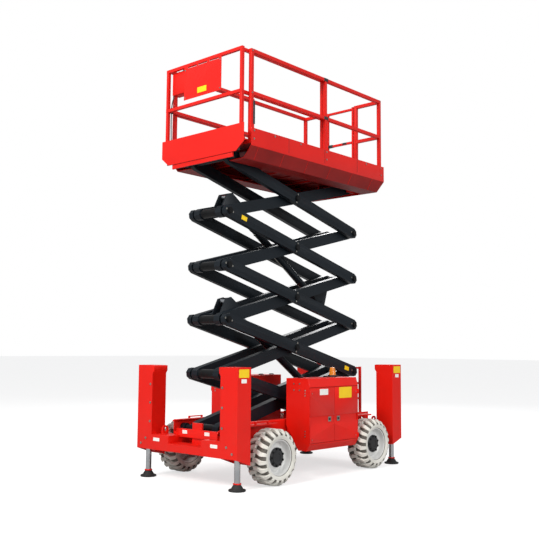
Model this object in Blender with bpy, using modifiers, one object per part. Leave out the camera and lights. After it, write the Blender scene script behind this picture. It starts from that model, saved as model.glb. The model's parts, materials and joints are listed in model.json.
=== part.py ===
"""Rough-terrain scissor lift on outriggers, posed with its arms part way up.

Frame: metres, +X towards the extension end of the platform, +Y to the machine's left, +Z up,
origin on the ground under the middle of the wheelbase.
"""

import math

import bmesh
import bpy
from mathutils import Matrix, Vector

# Fits
SEAT_GAP = 0.0003  # between pieces that rest on each other
RUN_GAP = 0.008  # between pieces that pass each other
PIN_PLAY = 0.0008  # radius left round a turning pin
PLATE = 0.010  # sheet and plate of the covers, housings and toe boards
WELD = 0.002  # how far joined plates run into each other
PIN_SIDES = 16
ROUND_SIDES = 16

# Wheels, axles and steering
WHEELBASE = 1.973
TYRE_DIAMETER = 0.66
TYRE_WIDTH = 0.30
TYRE_OUTER_Y = 0.933
RIM_DIAMETER = 0.42
HUB_DIAMETER = 0.26
HUB_RECESS = 0.07
RIM_WALL = 0.014
AXLE_DEPTH = 0.11
KING_PIN_Y = 0.56
KING_PIN_RADIUS = 0.022
STUB_RADIUS = 0.045
AXLE_CASE_RADIUS = 0.11
FORK_TINES = ((0.235, 0.260), (0.400, 0.425))
FORK_PLAY = 0.0055

# Outriggers
OUTRIGGER_X = 1.671
OUTRIGGER_LENGTH = 0.221
OUTRIGGER_Y = 0.874
OUTRIGGER_WIDTH = 0.273
OUTRIGGER_TOP = 1.385
OUTRIGGER_BOTTOM = 0.356
OUTRIGGER_BOTTOM_DROP = 0.076
CAP_OVERHANG = 0.026
CAP_DEPTH = 0.067
LEG_X = 1.560
LEG_Y = 0.776
LEG_RADIUS = 0.035
LEG_BARREL_RADIUS = 0.055
FOOT_RADIUS = 0.10
FOOT_THICKNESS = 0.022

# Chassis
RAIL_Y_IN = 0.36
RAIL_Y_OUT = 0.455
RAIL_TOP = 0.535
RAIL_BOTTOM = 0.37
FRAME_END_X = 1.440
PAN_Z = (0.39, 0.43)
HINGE_PLATE_Y = (0.345, 0.375)
TRACK_WALL = 0.010
TRACK_LIP_Y = 0.40
TRACK_TOP = 0.715
FENDER_Z = 0.675
FENDER_THICKNESS = 0.018
FENDER_Y = 0.600
FENDER_X_IN = 0.660
FENDER_X_OUT = 1.330
BEAM_BOTTOM = 0.354
BEAM_MIDDLE_TOP = 0.450
BEAM_BRACKET_TOP = 0.540
BEAM_BRACKET_Y_IN = 0.300
LUG_X = 1.555
LUG_Y = (0.47, 0.49)
LUG_RADIUS = 0.050
LUG_BORE_RADIUS = 0.026
LUG_Z = 0.600
STOP_BAR_X = 1.465
STOP_BAR_HALF_WIDTH = 0.350
STOP_BAR_TOP = 0.620
REST_BLOCK_HALF_WIDTH = 0.085
REST_BLOCK_TOP = 0.700
LADDER_Y = 0.185
LADDER_TOP = 1.344
LADDER_TUBE = 0.032
LADDER_RUNGS = 4

# Side covers
COVER_X_FRONT = 0.389
COVER_X_REAR = -0.630
COVER_Y_IN = 0.490
COVER_Y_OUT = 0.870
COVER_TOP = 1.230
COVER_BOTTOM = 0.340
COVER_TOP_CHAMFER = 0.102
COVER_TOP_INSET = 0.030
COVER_BOTTOM_CHAMFER = 0.080
COVER_CUT_Y = 0.688
COVER_CUT_Z = 0.637
DOOR_THICKNESS = 0.022
DOOR_TOP = 1.120
DOOR_BOTTOM = 0.430
DOOR_FRAME = 0.006
DOOR_SEAM = 0.005
DOOR_BAND_BOTTOM = 0.651
DOOR_BAND_TOP = 0.764
DOOR_BAND_DEPTH = 0.014
DOOR_BAND_SLOPE = 0.024
ENGINE_LENGTH = 0.70
ENGINE_HEIGHT = 0.62
BEACON_X = -0.400
BEACON_Y = 0.620
BEACON_RADIUS = 0.055
BEACON_HEIGHT = 0.130

# Scissor stack
STAGES = 5
PIVOT_LENGTH = 2.655
REST_ANGLE = math.radians(14.55)
HINGE_X = -1.286
HINGE_Z = 0.618
ARM_DEPTH = 0.150
OUTER_ARM_Y = (0.265, 0.333)
INNER_ARM_Y = (0.140, 0.240)
PIN_RADIUS = 0.030
SLEEVE_RADIUS = 0.055
ROLLER_RADIUS = 0.050
ROLLER_Y = (0.372, 0.448)

# Lift cylinders
BARREL_RADIUS = 0.050
BARREL_PIN_ALONG = 0.500
BARREL_PIN_BELOW = 0.240
BARREL_PIN_RADIUS = 0.025
BARREL_EYE_RADIUS = 0.048
ROD_RADIUS = 0.032
ROD_PIN_ALONG = 0.316
ROD_PIN_ABOVE = 0.165
ROD_EYE_RADIUS = 0.046
BARREL_LENGTH = 1.700
ROD_LENGTH = 1.810
GUSSET_Y = (0.060, 0.076)
GUSSET_BASE = 0.420

# Platform
DECK_HALF_WIDTH = 0.726
DECK_FRONT_X = 1.327
DECK_REAR_X = -1.494
DECK_ABOVE_HINGE = 0.1065
DECK_THICKNESS = 0.038
DECK_KEEL_Y = 0.600
DECK_FLANK_LIP = 0.030
TREAD_HALF_WIDTH = 0.600
TREAD_THICKNESS = 0.004
DECK_RIB_PITCH = 0.733
DECK_RIB_WIDTH = 0.060
DECK_RIB_DEPTH = 0.024
TOE_BOARD_HEIGHT = 0.190
RAIL_HEIGHT = 1.138
MID_RAIL_HEIGHT = 0.610
RAIL_TUBE = 0.045
POST_TUBE = 0.045
FRONT_POST_X = 1.3275
MID_POST_X = -0.141
REAR_POST_X = -1.4200
GATE_Y_LEFT = 0.262
GATE_Y_RIGHT = -0.272
GATE_TUBE = 0.034
GATE_HINGE_RADIUS = 0.012
GATE_PIN_SIDES = 12

# Platform extension
EXTENSION_FRONT_X = 1.466
EXTENSION_REAR_X = -0.160
EXTENSION_POST_Y = 0.691
EXTENSION_RAIL_Y = 0.668
EXTENSION_FLOOR = 0.018
EXTENSION_PAD = 0.008
EXTENSION_PAD_Y = (0.50, 0.56)
EXTENSION_TUBE = 0.040
EXTENSION_TOE_HALF_WIDTH = 0.738
EXTENSION_TOE_BELOW = 0.110
EXTENSION_TOE_ABOVE = 0.220
EXTENSION_BEAM_HALF_WIDTH = 0.545
SIGN_HALF_WIDTH = 0.340
SIGN_BOTTOM = 0.662
SIGN_TOP = 1.102
CONTROL_Y = (-0.620, -0.345)
CONTROL_BOTTOM = 0.790
CONTROL_TOP = 1.110
CONTROL_STALK_Y = -0.480

# Places worked out from the sizes above
AXLE_X = WHEELBASE / 2
BEAM_BRACKET_Y_OUT = OUTRIGGER_Y - OUTRIGGER_WIDTH - SEAT_GAP
TYRE_RADIUS = TYRE_DIAMETER / 2
TYRE_Y = TYRE_OUTER_Y - TYRE_WIDTH / 2
STAGE_RISE = PIVOT_LENGTH * math.sin(REST_ANGLE)
STAGE_REACH = PIVOT_LENGTH * math.cos(REST_ANGLE)
FRONT_JOINT_X = HINGE_X + STAGE_REACH
PLATFORM_HINGE_Z = HINGE_Z + STAGES * STAGE_RISE
DECK_BOTTOM = PLATFORM_HINGE_Z + DECK_ABOVE_HINGE
DECK_TOP = DECK_BOTTOM + DECK_THICKNESS
BEAM_LOW = PLATFORM_HINGE_Z - ROLLER_RADIUS - SEAT_GAP - PLATE
ROLLER_SPAN = (HINGE_X + PIVOT_LENGTH * 0.50, HINGE_X + PIVOT_LENGTH + 0.06)
RAIL_TOP_Z = DECK_TOP + RAIL_HEIGHT
MID_RAIL_Z = DECK_TOP + MID_RAIL_HEIGHT

RED = (0.78, 0.045, 0.022)
DARK_RED = (0.30, 0.012, 0.010)
CHARCOAL = (0.022, 0.027, 0.035)
STEEL = (0.50, 0.50, 0.50)
BLACK = (0.012, 0.012, 0.013)
OFF_WHITE = (0.62, 0.61, 0.57)
LIGHT_GREY = (0.70, 0.70, 0.70)
AMBER = (0.85, 0.30, 0.02)

for old in list(bpy.data.objects):
    bpy.data.objects.remove(old, do_unlink=True)

PARTS = bpy.data.collections.new("scissor_lift")
WORKSHOP = bpy.data.collections.new("workshop")
for group in (PARTS, WORKSHOP):
    bpy.context.scene.collection.children.link(group)


def finish_of(name, color, roughness=0.45, metallic=0.0):
    """A plain material, made once for each name."""
    material = bpy.data.materials.get(name)
    if material is None:
        material = bpy.data.materials.new(name)
        material.use_nodes = True
        shader = material.node_tree.nodes["Principled BSDF"]
        shader.inputs["Base Color"].default_value = (*color, 1.0)
        shader.inputs["Roughness"].default_value = roughness
        shader.inputs["Metallic"].default_value = metallic
    return material


def shape(mesh_tool):
    """A workshop object holding the mesh that mesh_tool fills in."""
    mesh = bpy.data.meshes.new("shape")
    work = bmesh.new()
    mesh_tool(work)
    bmesh.ops.recalc_face_normals(work, faces=work.faces)
    work.to_mesh(mesh)
    work.free()
    obj = bpy.data.objects.new("shape", mesh)
    WORKSHOP.objects.link(obj)
    return obj


def box(x, y, z):
    """A block between two limits on each axis."""
    low = Vector((min(x), min(y), min(z)))
    high = Vector((max(x), max(y), max(z)))
    size = Matrix.Diagonal((*(high - low), 1.0))
    return shape(lambda work: bmesh.ops.create_cube(
        work, size=1.0, matrix=Matrix.Translation((low + high) / 2) @ size))


def rod(start, end, radius, sides=ROUND_SIDES, end_radius=None):
    """A round bar or a cone from start to end."""
    start, end = Vector(start), Vector(end)
    run = end - start
    turn = run.to_track_quat("Z", "Y").to_matrix().to_4x4()
    place = Matrix.Translation((start + end) / 2) @ turn
    top = radius if end_radius is None else end_radius
    return shape(lambda work: bmesh.ops.create_cone(
        work, cap_ends=True, segments=sides, radius1=radius, radius2=top,
        depth=run.length, matrix=place))


def plate(outline, axis, low, high):
    """A flat outline, given on the two other axes in X, Y, Z order, made thick along axis."""
    low, high = min(low, high), max(low, high)

    def extrude(work):
        corners = []
        for a, b in outline:
            spot = [a, b]
            spot.insert("XYZ".index(axis), low)
            corners.append(work.verts.new(spot))
        face = work.faces.new(corners)
        grown = bmesh.ops.extrude_face_region(work, geom=[face])
        moved = [item for item in grown["geom"] if isinstance(item, bmesh.types.BMVert)]
        step = Vector([high - low if letter == axis else 0.0 for letter in "XYZ"])
        bmesh.ops.translate(work, vec=step, verts=moved)

    return shape(extrude)


def turned(profile, centre, axis, sides=ROUND_SIDES):
    """A closed profile of (radius, along) points spun about an axis through centre."""
    mesh = bpy.data.meshes.new("profile")
    count = len(profile)
    points = [(radius, 0.0, along) for radius, along in profile]
    mesh.from_pydata(points, [(k, (k + 1) % count) for k in range(count)], [])
    obj = bpy.data.objects.new("profile", mesh)
    WORKSHOP.objects.link(obj)
    screw = obj.modifiers.new("spin", "SCREW")
    screw.steps = sides
    screw.render_steps = sides
    screw.use_merge_vertices = True
    screw.merge_threshold = 0.0001
    solid = baked(obj)
    turn = Vector(axis).to_track_quat("Z", "Y").to_matrix().to_4x4()
    solid.data.transform(Matrix.Translation(centre) @ turn)
    outward(solid.data)
    return solid


def outward(mesh):
    """Welds the mesh and points its faces outwards."""
    work = bmesh.new()
    work.from_mesh(mesh)
    bmesh.ops.remove_doubles(work, verts=work.verts, dist=0.00001)
    bmesh.ops.recalc_face_normals(work, faces=work.faces)
    work.to_mesh(mesh)
    work.free()


def baked(obj):
    """Applies an object's modifiers."""
    bpy.context.view_layer.update()
    graph = bpy.context.evaluated_depsgraph_get()
    mesh = bpy.data.meshes.new_from_object(obj.evaluated_get(graph))
    obj.modifiers.clear()
    obj.data = mesh
    return obj


def joined(pieces, cuts=()):
    """One closed solid: the union of the pieces, with the cuts taken away."""
    base = pieces[0]
    for operation, others in (("UNION", pieces[1:]), ("DIFFERENCE", cuts)):
        if not others:
            continue
        group = bpy.data.collections.new(operation)
        for other in others:
            group.objects.link(other)
        boolean = base.modifiers.new(operation, "BOOLEAN")
        boolean.operation = operation
        boolean.operand_type = "COLLECTION"
        boolean.collection = group
        boolean.solver = "EXACT"
        baked(base)
        bpy.data.collections.remove(group)
        for other in others:
            bpy.data.objects.remove(other, do_unlink=True)
    return base


def part(name, pieces, finish, cuts=(), origin=(0.0, 0.0, 0.0)):
    """A finished sub-part, with its origin on its own joint where it has one."""
    obj = joined(list(pieces), list(cuts))
    outward(obj.data)
    obj.name = name
    obj.data.name = name
    obj.data.transform(Matrix.Translation(-Vector(origin)))
    obj.location = origin
    obj.data.materials.clear()
    obj.data.materials.append(finish)
    obj.data.shade_smooth()
    obj.data.set_sharp_from_angle(angle=math.radians(35))
    WORKSHOP.objects.unlink(obj)
    PARTS.objects.link(obj)
    return obj


def span(side, near, far):
    """Two limits on Y, on one side of the machine."""
    return (side * near, side * far)


SIDES = ((1, "left"), (-1, "right"))
ENDS = ((1, "front"), (-1, "rear"))


def chassis_frame():
    """Two side rails with the ground stage's roller tracks, hinge plates and fenders."""
    pieces = [box((-FRAME_END_X, FRAME_END_X), (-RAIL_Y_IN, RAIL_Y_IN), PAN_Z)]
    track_floor = HINGE_Z - ROLLER_RADIUS - SEAT_GAP
    sunk = RAIL_TOP - 0.02
    lap_y = RAIL_Y_OUT + WELD
    for side, _ in SIDES:
        rail_y = span(side, HINGE_PLATE_Y[0] - 0.01, RAIL_Y_OUT)
        pieces.append(box((-FRAME_END_X, FRAME_END_X), rail_y, (RAIL_BOTTOM, RAIL_TOP)))
        wall = span(side, RAIL_Y_OUT, RAIL_Y_OUT + TRACK_WALL)
        pieces.append(box(ROLLER_SPAN, wall, (sunk, TRACK_TOP)))
        pieces.append(box(ROLLER_SPAN, span(side, RAIL_Y_IN, lap_y), (sunk, track_floor)))
        pieces.append(box(ROLLER_SPAN, span(side, TRACK_LIP_Y, lap_y), (TRACK_TOP - TRACK_WALL, TRACK_TOP)))
        hinge_x = (HINGE_X - 0.11, HINGE_X + 0.11)
        pieces.append(box(hinge_x, span(side, *HINGE_PLATE_Y), (sunk, HINGE_Z + 0.07)))
        skirt = span(side, RAIL_Y_OUT - WELD, RAIL_Y_OUT + TRACK_WALL)
        pieces.append(box((-FRAME_END_X, COVER_X_REAR - 0.03), skirt, (RAIL_BOTTOM + 0.01, TRACK_TOP)))
        for end, _ in ENDS:
            fender = (end * FENDER_X_IN, end * FENDER_X_OUT)
            pieces.append(box(fender, span(side, lap_y, FENDER_Y), (FENDER_Z, FENDER_Z + FENDER_THICKNESS)))
        shelf = (COVER_X_REAR + 0.05, COVER_X_FRONT - 0.05)
        pieces.append(box(shelf, span(side, RAIL_Y_OUT - WELD, COVER_Y_IN - SEAT_GAP),
                          (RAIL_TOP - 0.03, TRACK_TOP - 0.003)))
    holes = [rod((HINGE_X, -0.5, HINGE_Z), (HINGE_X, 0.5, HINGE_Z), PIN_RADIUS + PIN_PLAY, PIN_SIDES)]
    part("chassis_frame", pieces, finish_of("frame_paint", RED), holes)


def lug_outline(end):
    """A round-topped lifting lug in X and Z, standing on a beam bracket."""
    foot = BEAM_BRACKET_TOP - 0.01
    outline = [(end * (LUG_X - LUG_RADIUS), foot)]
    for k in range(7):
        turn = math.pi * (1 - k / 6)
        x = LUG_X + LUG_RADIUS * math.cos(turn)
        outline.append((end * x, LUG_Z + LUG_RADIUS * math.sin(turn)))
    outline.append((end * (LUG_X + LUG_RADIUS), foot))
    return outline


def crossbeams():
    """A beam across each end with its brackets, lifting lugs and, at the front, the arms' stops."""
    for end, name in ENDS:
        face = end * OUTRIGGER_X
        near = end * (FRAME_END_X + SEAT_GAP)
        pieces = [box((near, face - end * WELD), (-BEAM_BRACKET_Y_IN, BEAM_BRACKET_Y_IN),
                      (BEAM_BOTTOM + WELD, BEAM_MIDDLE_TOP))]
        holes = []
        for side, _ in SIDES:
            bracket = span(side, BEAM_BRACKET_Y_IN - 0.01, BEAM_BRACKET_Y_OUT)
            pieces.append(box((near, face), bracket, (BEAM_BOTTOM, BEAM_BRACKET_TOP)))
            pieces.append(plate(lug_outline(end), "Y", *span(side, *LUG_Y)))
            start, stop = (end * LUG_X, side * 0.4, LUG_Z), (end * LUG_X, side * 0.55, LUG_Z)
            holes.append(rod(start, stop, LUG_BORE_RADIUS, PIN_SIDES))
        if end == 1:
            pieces.append(box((STOP_BAR_X - 0.012, STOP_BAR_X + 0.02),
                              (-STOP_BAR_HALF_WIDTH, STOP_BAR_HALF_WIDTH),
                              (BEAM_BRACKET_TOP - 0.02, STOP_BAR_TOP)))
            pieces.append(box((near, STOP_BAR_X - WELD), (-REST_BLOCK_HALF_WIDTH, REST_BLOCK_HALF_WIDTH),
                              (BEAM_MIDDLE_TOP - 0.01, REST_BLOCK_TOP)))
        part(name + "_crossbeam", pieces, finish_of("frame_paint", RED), holes)


def axles():
    """A fixed rear axle with stubs and a front axle with king-pin forks."""
    dark = finish_of("axle_paint", DARK_RED)
    under_rail = RAIL_BOTTOM - SEAT_GAP
    low = TYRE_RADIUS - AXLE_DEPTH / 2
    for end, name in ENDS:
        x = end * AXLE_X
        inner = KING_PIN_Y - 0.075 if end == 1 else TYRE_Y - 0.095
        pieces = [box((x - 0.06, x + 0.06), (-inner, inner), (low, low + 0.085)),
                  rod((x, 0, low - 0.03), (x, 0, under_rail), AXLE_CASE_RADIUS)]
        holes = []
        for side, _ in SIDES:
            pieces.append(box((x - 0.08, x + 0.08), span(side, 0.36, 0.44), (low + 0.01, under_rail)))
            if end == 1:
                fork = (x - 0.045, x + 0.045)
                for tine in FORK_TINES:
                    pieces.append(box(fork, span(side, inner - 0.01, KING_PIN_Y + 0.035), tine))
                pieces.append(box(fork, span(side, inner - 0.012, inner), (FORK_TINES[0][0], FORK_TINES[1][1])))
                king = (x, side * KING_PIN_Y)
                holes.append(rod((*king, 0.1), (*king, 0.5), KING_PIN_RADIUS + PIN_PLAY, PIN_SIDES))
            else:
                hub = TYRE_OUTER_Y - HUB_RECESS - 0.02
                pieces.append(rod((x, side * (inner - 0.02), TYRE_RADIUS), (x, side * hub, TYRE_RADIUS),
                                  STUB_RADIUS))
        part(name + "_axle", pieces, dark, holes)


def ladder():
    """The entry ladder that stands on the rear crossbeam."""
    x = (-OUTRIGGER_X, -OUTRIGGER_X + LADDER_TUBE)
    foot = BEAM_MIDDLE_TOP + SEAT_GAP
    pieces = [box(x, span(side, LADDER_Y - LADDER_TUBE, LADDER_Y), (foot, LADDER_TOP)) for side, _ in SIDES]
    for k in range(LADDER_RUNGS):
        z = BEAM_MIDDLE_TOP + (k + 1) * (LADDER_TOP - BEAM_MIDDLE_TOP) / LADDER_RUNGS - 0.034
        pieces.append(box((x[0] + WELD, x[1] - WELD), (-LADDER_Y + 0.01, LADDER_Y - 0.01), (z, z + 0.028)))
    part("entry_ladder", pieces, finish_of("frame_paint", RED))


def outriggers():
    """Four sheet housings on the ends of the cross beams, each with a sliding leg and a round foot."""
    red = finish_of("housing_paint", RED)
    for end, end_name in ENDS:
        for side, side_name in SIDES:
            corner = end_name + "_" + side_name
            far, near = end * OUTRIGGER_X, end * (OUTRIGGER_X - OUTRIGGER_LENGTH)
            drop = OUTRIGGER_BOTTOM - OUTRIGGER_BOTTOM_DROP
            outline = [(near, drop), (far, OUTRIGGER_BOTTOM), (far, OUTRIGGER_TOP), (near, OUTRIGGER_TOP)]
            inner_y = side * (OUTRIGGER_Y - OUTRIGGER_WIDTH)
            shell = plate(outline, "Y", inner_y, side * OUTRIGGER_Y)
            inside = (near + end * PLATE, far - end * PLATE)
            width = (inner_y + side * PLATE, side * (OUTRIGGER_Y - PLATE))
            shell = joined([shell], [box(inside, width, (0.1, OUTRIGGER_TOP - PLATE))])
            lip = [(inner_y + side * 0.004, OUTRIGGER_TOP - 0.001),
                   (inner_y - side * CAP_OVERHANG, OUTRIGGER_TOP - 0.004),
                   (inner_y - side * CAP_OVERHANG, OUTRIGGER_TOP - CAP_DEPTH),
                   (inner_y + side * 0.004, OUTRIGGER_TOP - CAP_DEPTH - 0.04)]
            cap = plate(lip, "X", near + end * 0.001, far - end * 0.001)
            leg = (end * LEG_X, side * LEG_Y)
            sleeve = rod((*leg, 0.38), (*leg, OUTRIGGER_TOP - PLATE + 0.004), LEG_BARREL_RADIUS)
            stay_y = (leg[1], side * (OUTRIGGER_Y - PLATE + 0.004))
            stay = box((leg[0] - 0.008, leg[0] + 0.008), stay_y, (0.45, 1.30))
            bore = rod((*leg, 0.2), (*leg, 1.30), LEG_RADIUS + PIN_PLAY)
            part("outrigger_housing_" + corner, [shell, cap, sleeve, stay], red, [bore])
            rod_piece = rod((*leg, FOOT_THICKNESS + 0.012), (*leg, 1.02), LEG_RADIUS)
            collar = rod((*leg, 0.085), (*leg, 0.115), LEG_RADIUS + 0.014)
            part("outrigger_leg_" + corner, [rod_piece, collar], finish_of("rod_chrome", STEEL, 0.2, 1.0),
                 origin=(*leg, 0.0))
            disc = rod((*leg, 0.0), (*leg, FOOT_THICKNESS), FOOT_RADIUS)
            cone = rod((*leg, FOOT_THICKNESS - 0.004), (*leg, 0.075), 0.075, end_radius=0.045)
            socket = rod((*leg, FOOT_THICKNESS + 0.012 - SEAT_GAP), (*leg, 0.2), LEG_RADIUS + PIN_PLAY)
            part("outrigger_foot_" + corner, [disc, cone], finish_of("foot_rubber", BLACK, 0.8), [socket],
                 origin=(*leg, 0.0))


def wheels():
    """Tyres on dished rims, steered at the front on king-pin knuckles."""
    tyre_finish = finish_of("tyre_rubber", OFF_WHITE, 0.85)
    rim_finish = finish_of("rim_paint", LIGHT_GREY, 0.5, 0.3)
    half = TYRE_WIDTH / 2
    rim = RIM_DIAMETER / 2
    for end, end_name in ENDS:
        for side, side_name in SIDES:
            corner = end_name + "_" + side_name
            centre = (end * AXLE_X, side * TYRE_Y, TYRE_RADIUS)
            tyre = [(rim, -half + 0.02), (rim + 0.02, -half),
                    (TYRE_RADIUS - 0.05, -half), (TYRE_RADIUS, -half + 0.045),
                    (TYRE_RADIUS, half - 0.045), (TYRE_RADIUS - 0.05, half),
                    (rim + 0.02, half), (rim, half - 0.02)]
            out = (0, side, 0)
            part("tyre_" + corner, [turned(tyre, centre, out, 24)], tyre_finish, origin=centre)
            face = half - HUB_RECESS
            hub = HUB_DIAMETER / 2
            bore = STUB_RADIUS + PIN_PLAY
            edge = rim - SEAT_GAP
            profile = [(bore, face - 0.05), (hub, face - 0.05), (hub + 0.02, face - 0.035),
                       (edge - RIM_WALL, face - 0.045), (edge - RIM_WALL, -half + 0.02),
                       (edge, -half + 0.02), (edge, half - 0.022),
                       (edge - RIM_WALL, half - 0.022), (edge - RIM_WALL, face - 0.022),
                       (hub + 0.01, face - 0.012), (hub, face), (bore, face)]
            part("rim_" + corner, [turned(profile, centre, out, 24)], rim_finish, origin=centre)
            if end == 1:
                pin = (AXLE_X, side * KING_PIN_Y)
                between = (FORK_TINES[0][1] + FORK_PLAY, FORK_TINES[1][0] - FORK_PLAY)
                carrier = box((AXLE_X - 0.04, AXLE_X + 0.04), span(side, KING_PIN_Y - 0.03, KING_PIN_Y + 0.055),
                              between)
                stub = rod((AXLE_X, side * (KING_PIN_Y + 0.05), TYRE_RADIUS),
                           (AXLE_X, side * (TYRE_OUTER_Y - HUB_RECESS - 0.02), TYRE_RADIUS), STUB_RADIUS)
                king = rod((*pin, FORK_TINES[0][0] - 0.007), (*pin, FORK_TINES[1][1] + 0.007),
                           KING_PIN_RADIUS, PIN_SIDES)
                part("knuckle_" + side_name, [carrier, stub, king], finish_of("axle_paint", DARK_RED),
                     origin=(*pin, TYRE_RADIUS))


def side_covers():
    """Hollow covers on both sides, with two hinged doors each; the engine block is inside the left one."""
    red = finish_of("cover_paint", RED)
    middle = (COVER_X_FRONT + COVER_X_REAR) / 2
    for side, side_name in SIDES:
        y_in, y_out = side * COVER_Y_IN, side * COVER_Y_OUT
        outline = [(y_in, COVER_CUT_Z), (side * COVER_CUT_Y, COVER_BOTTOM),
                   (y_out - side * 0.05, COVER_BOTTOM),
                   (y_out, COVER_BOTTOM + COVER_BOTTOM_CHAMFER), (y_out, COVER_TOP - COVER_TOP_CHAMFER),
                   (y_out - side * COVER_TOP_INSET, COVER_TOP), (y_in, COVER_TOP)]
        shell = plate(outline, "X", COVER_X_REAR, COVER_X_FRONT)
        t = PLATE
        hollow_line = [(y_in + side * t, COVER_CUT_Z + 0.004),
                       (side * (COVER_CUT_Y + 0.004), COVER_BOTTOM + t),
                       (y_out - side * 0.055, COVER_BOTTOM + t),
                       (y_out - side * t, COVER_BOTTOM + COVER_BOTTOM_CHAMFER),
                       (y_out - side * t, COVER_TOP - COVER_TOP_CHAMFER),
                       (y_out - side * (COVER_TOP_INSET + t), COVER_TOP - t),
                       (y_in + side * t, COVER_TOP - t)]
        hollow = plate(hollow_line, "X", COVER_X_REAR + t, COVER_X_FRONT - t)
        mouth = box((COVER_X_REAR + DOOR_FRAME, COVER_X_FRONT - DOOR_FRAME),
                    (y_out - side * (DOOR_THICKNESS + 0.002), y_out + side * 0.1), (DOOR_BOTTOM, DOOR_TOP))
        part("cover_" + side_name, [shell], red, [hollow, mouth])
        for end, end_name in ENDS:
            edge = (COVER_X_FRONT if end == 1 else COVER_X_REAR) - end * (DOOR_FRAME + DOOR_SEAM)
            meet = middle + end * DOOR_SEAM / 2
            skin_out = y_out
            skin_in = y_out - side * DOOR_THICKNESS
            door = box((edge, meet), (skin_in, skin_out), (DOOR_BOTTOM + DOOR_SEAM, DOOR_TOP - DOOR_SEAM))
            band_in, band_out = skin_out - side * DOOR_BAND_DEPTH, skin_out + side * 0.1
            band_line = [(band_in, DOOR_BAND_TOP), (band_in, DOOR_BAND_BOTTOM + DOOR_BAND_SLOPE),
                         (skin_out, DOOR_BAND_BOTTOM), (band_out, DOOR_BAND_BOTTOM), (band_out, DOOR_BAND_TOP)]
            band = plate(band_line, "X", edge - 1.0, edge + 1.0)
            hinge_x = edge + end * (DOOR_FRAME + DOOR_SEAM) - end * 0.004
            hinge_y = skin_out + side * 0.0076
            knuckles = []
            for z in (0.476, 1.046):
                tall = (z - 0.03, z + 0.03)
                leaf = (skin_out + side * SEAT_GAP, skin_out + side * 0.006)
                knuckles.append(box((edge - end * 0.012, edge - end * 0.001),
                                    (skin_out - side * 0.004, leaf[1]), tall))
                knuckles.append(box((edge - end * 0.004, hinge_x), leaf, tall))
                knuckles.append(rod((hinge_x, hinge_y, tall[0]), (hinge_x, hinge_y, tall[1]), 0.007, 12))
            part("cover_door_" + end_name + "_" + side_name, [door] + knuckles, red, [band],
                 origin=(hinge_x, hinge_y, (DOOR_TOP + DOOR_BOTTOM) / 2))
    base = COVER_BOTTOM + PLATE + SEAT_GAP
    near, far = COVER_Y_IN + 0.03, COVER_Y_OUT - DOOR_THICKNESS - 0.010
    outline = [(COVER_CUT_Y + 0.015, base), (far - 0.045, base), (far, base + COVER_BOTTOM_CHAMFER),
               (far, base + ENGINE_HEIGHT), (near, base + ENGINE_HEIGHT), (near, COVER_CUT_Z + 0.03)]
    part("engine_block", [plate(outline, "X", middle - ENGINE_LENGTH / 2, middle + ENGINE_LENGTH / 2)],
         finish_of("engine_grey", CHARCOAL))
    foot = COVER_TOP + SEAT_GAP
    lamp = (BEACON_X, BEACON_Y)
    base = rod((*lamp, foot), (*lamp, foot + 0.03), BEACON_RADIUS)
    lens = rod((*lamp, foot + 0.028), (*lamp, foot + BEACON_HEIGHT), BEACON_RADIUS - 0.008,
               end_radius=BEACON_RADIUS - 0.018)
    part("beacon", [base, lens], finish_of("beacon_amber", AMBER, 0.2))


def joint_at(stage, front):
    """A side joint of the stack; stage 0 is on the chassis."""
    return Vector((FRONT_JOINT_X if front else HINGE_X, 0, HINGE_Z + stage * STAGE_RISE))


def arm_outline(start, end):
    """A bar with round ends between two joints, in X and Z."""
    run = (end - start).normalized()
    lean = math.atan2(run.z, run.x)
    points = []
    for centre, first in ((end, lean - math.pi / 2), (start, lean + math.pi / 2)):
        for k in range(5):
            turn = first + math.pi * k / 4
            reach = Vector((math.cos(turn), 0, math.sin(turn))) * ARM_DEPTH / 2
            points.append((centre.x + reach.x, centre.z + reach.z))
    return points


def across(spot, y, radius, sides=PIN_SIDES):
    """A round bar along Y at a joint."""
    return rod((spot.x, y[0], spot.z), (spot.x, y[1], spot.z), radius, sides)


def on_arm(stage, front, along, above):
    """A point in an inner arm's own lines: along from one of its side joints, and square above it."""
    down = Vector((math.cos(REST_ANGLE), 0, -math.sin(REST_ANGLE)))
    up = Vector((math.sin(REST_ANGLE), 0, math.cos(REST_ANGLE)))
    base = joint_at(stage - 1, True) if front else joint_at(stage, False)
    return base + down * (-along if front else along) + up * above


def gusset(stage, front, along, above, eye):
    """The pair of plates that carries a lift cylinder's end between two inner arms."""
    reach = GUSSET_BASE / 2
    sign = 1 if above > 0 else -1
    tip = above + sign * eye
    corners = ((along - reach, sign * 0.03), (along + reach, sign * 0.03),
               (along + 0.05, tip), (along - 0.05, tip))
    outline = []
    for spot in corners:
        point = on_arm(stage, front, *spot)
        outline.append((point.x, point.z))
    pieces = []
    for side, _ in SIDES:
        pieces.append(plate(outline, "Y", side * GUSSET_Y[0], side * GUSSET_Y[1]))
    foot = on_arm(stage, front, along, sign * 0.045)
    slope = Matrix.Rotation(REST_ANGLE, 4, "Y")
    for side, _ in SIDES:
        tie = box((-reach, reach), span(side, GUSSET_Y[0] + 0.001, INNER_ARM_Y[0] + 0.01), (-0.008, 0.008))
        tie.data.transform(Matrix.Translation(foot) @ slope)
        pieces.append(tie)
    return pieces


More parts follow.
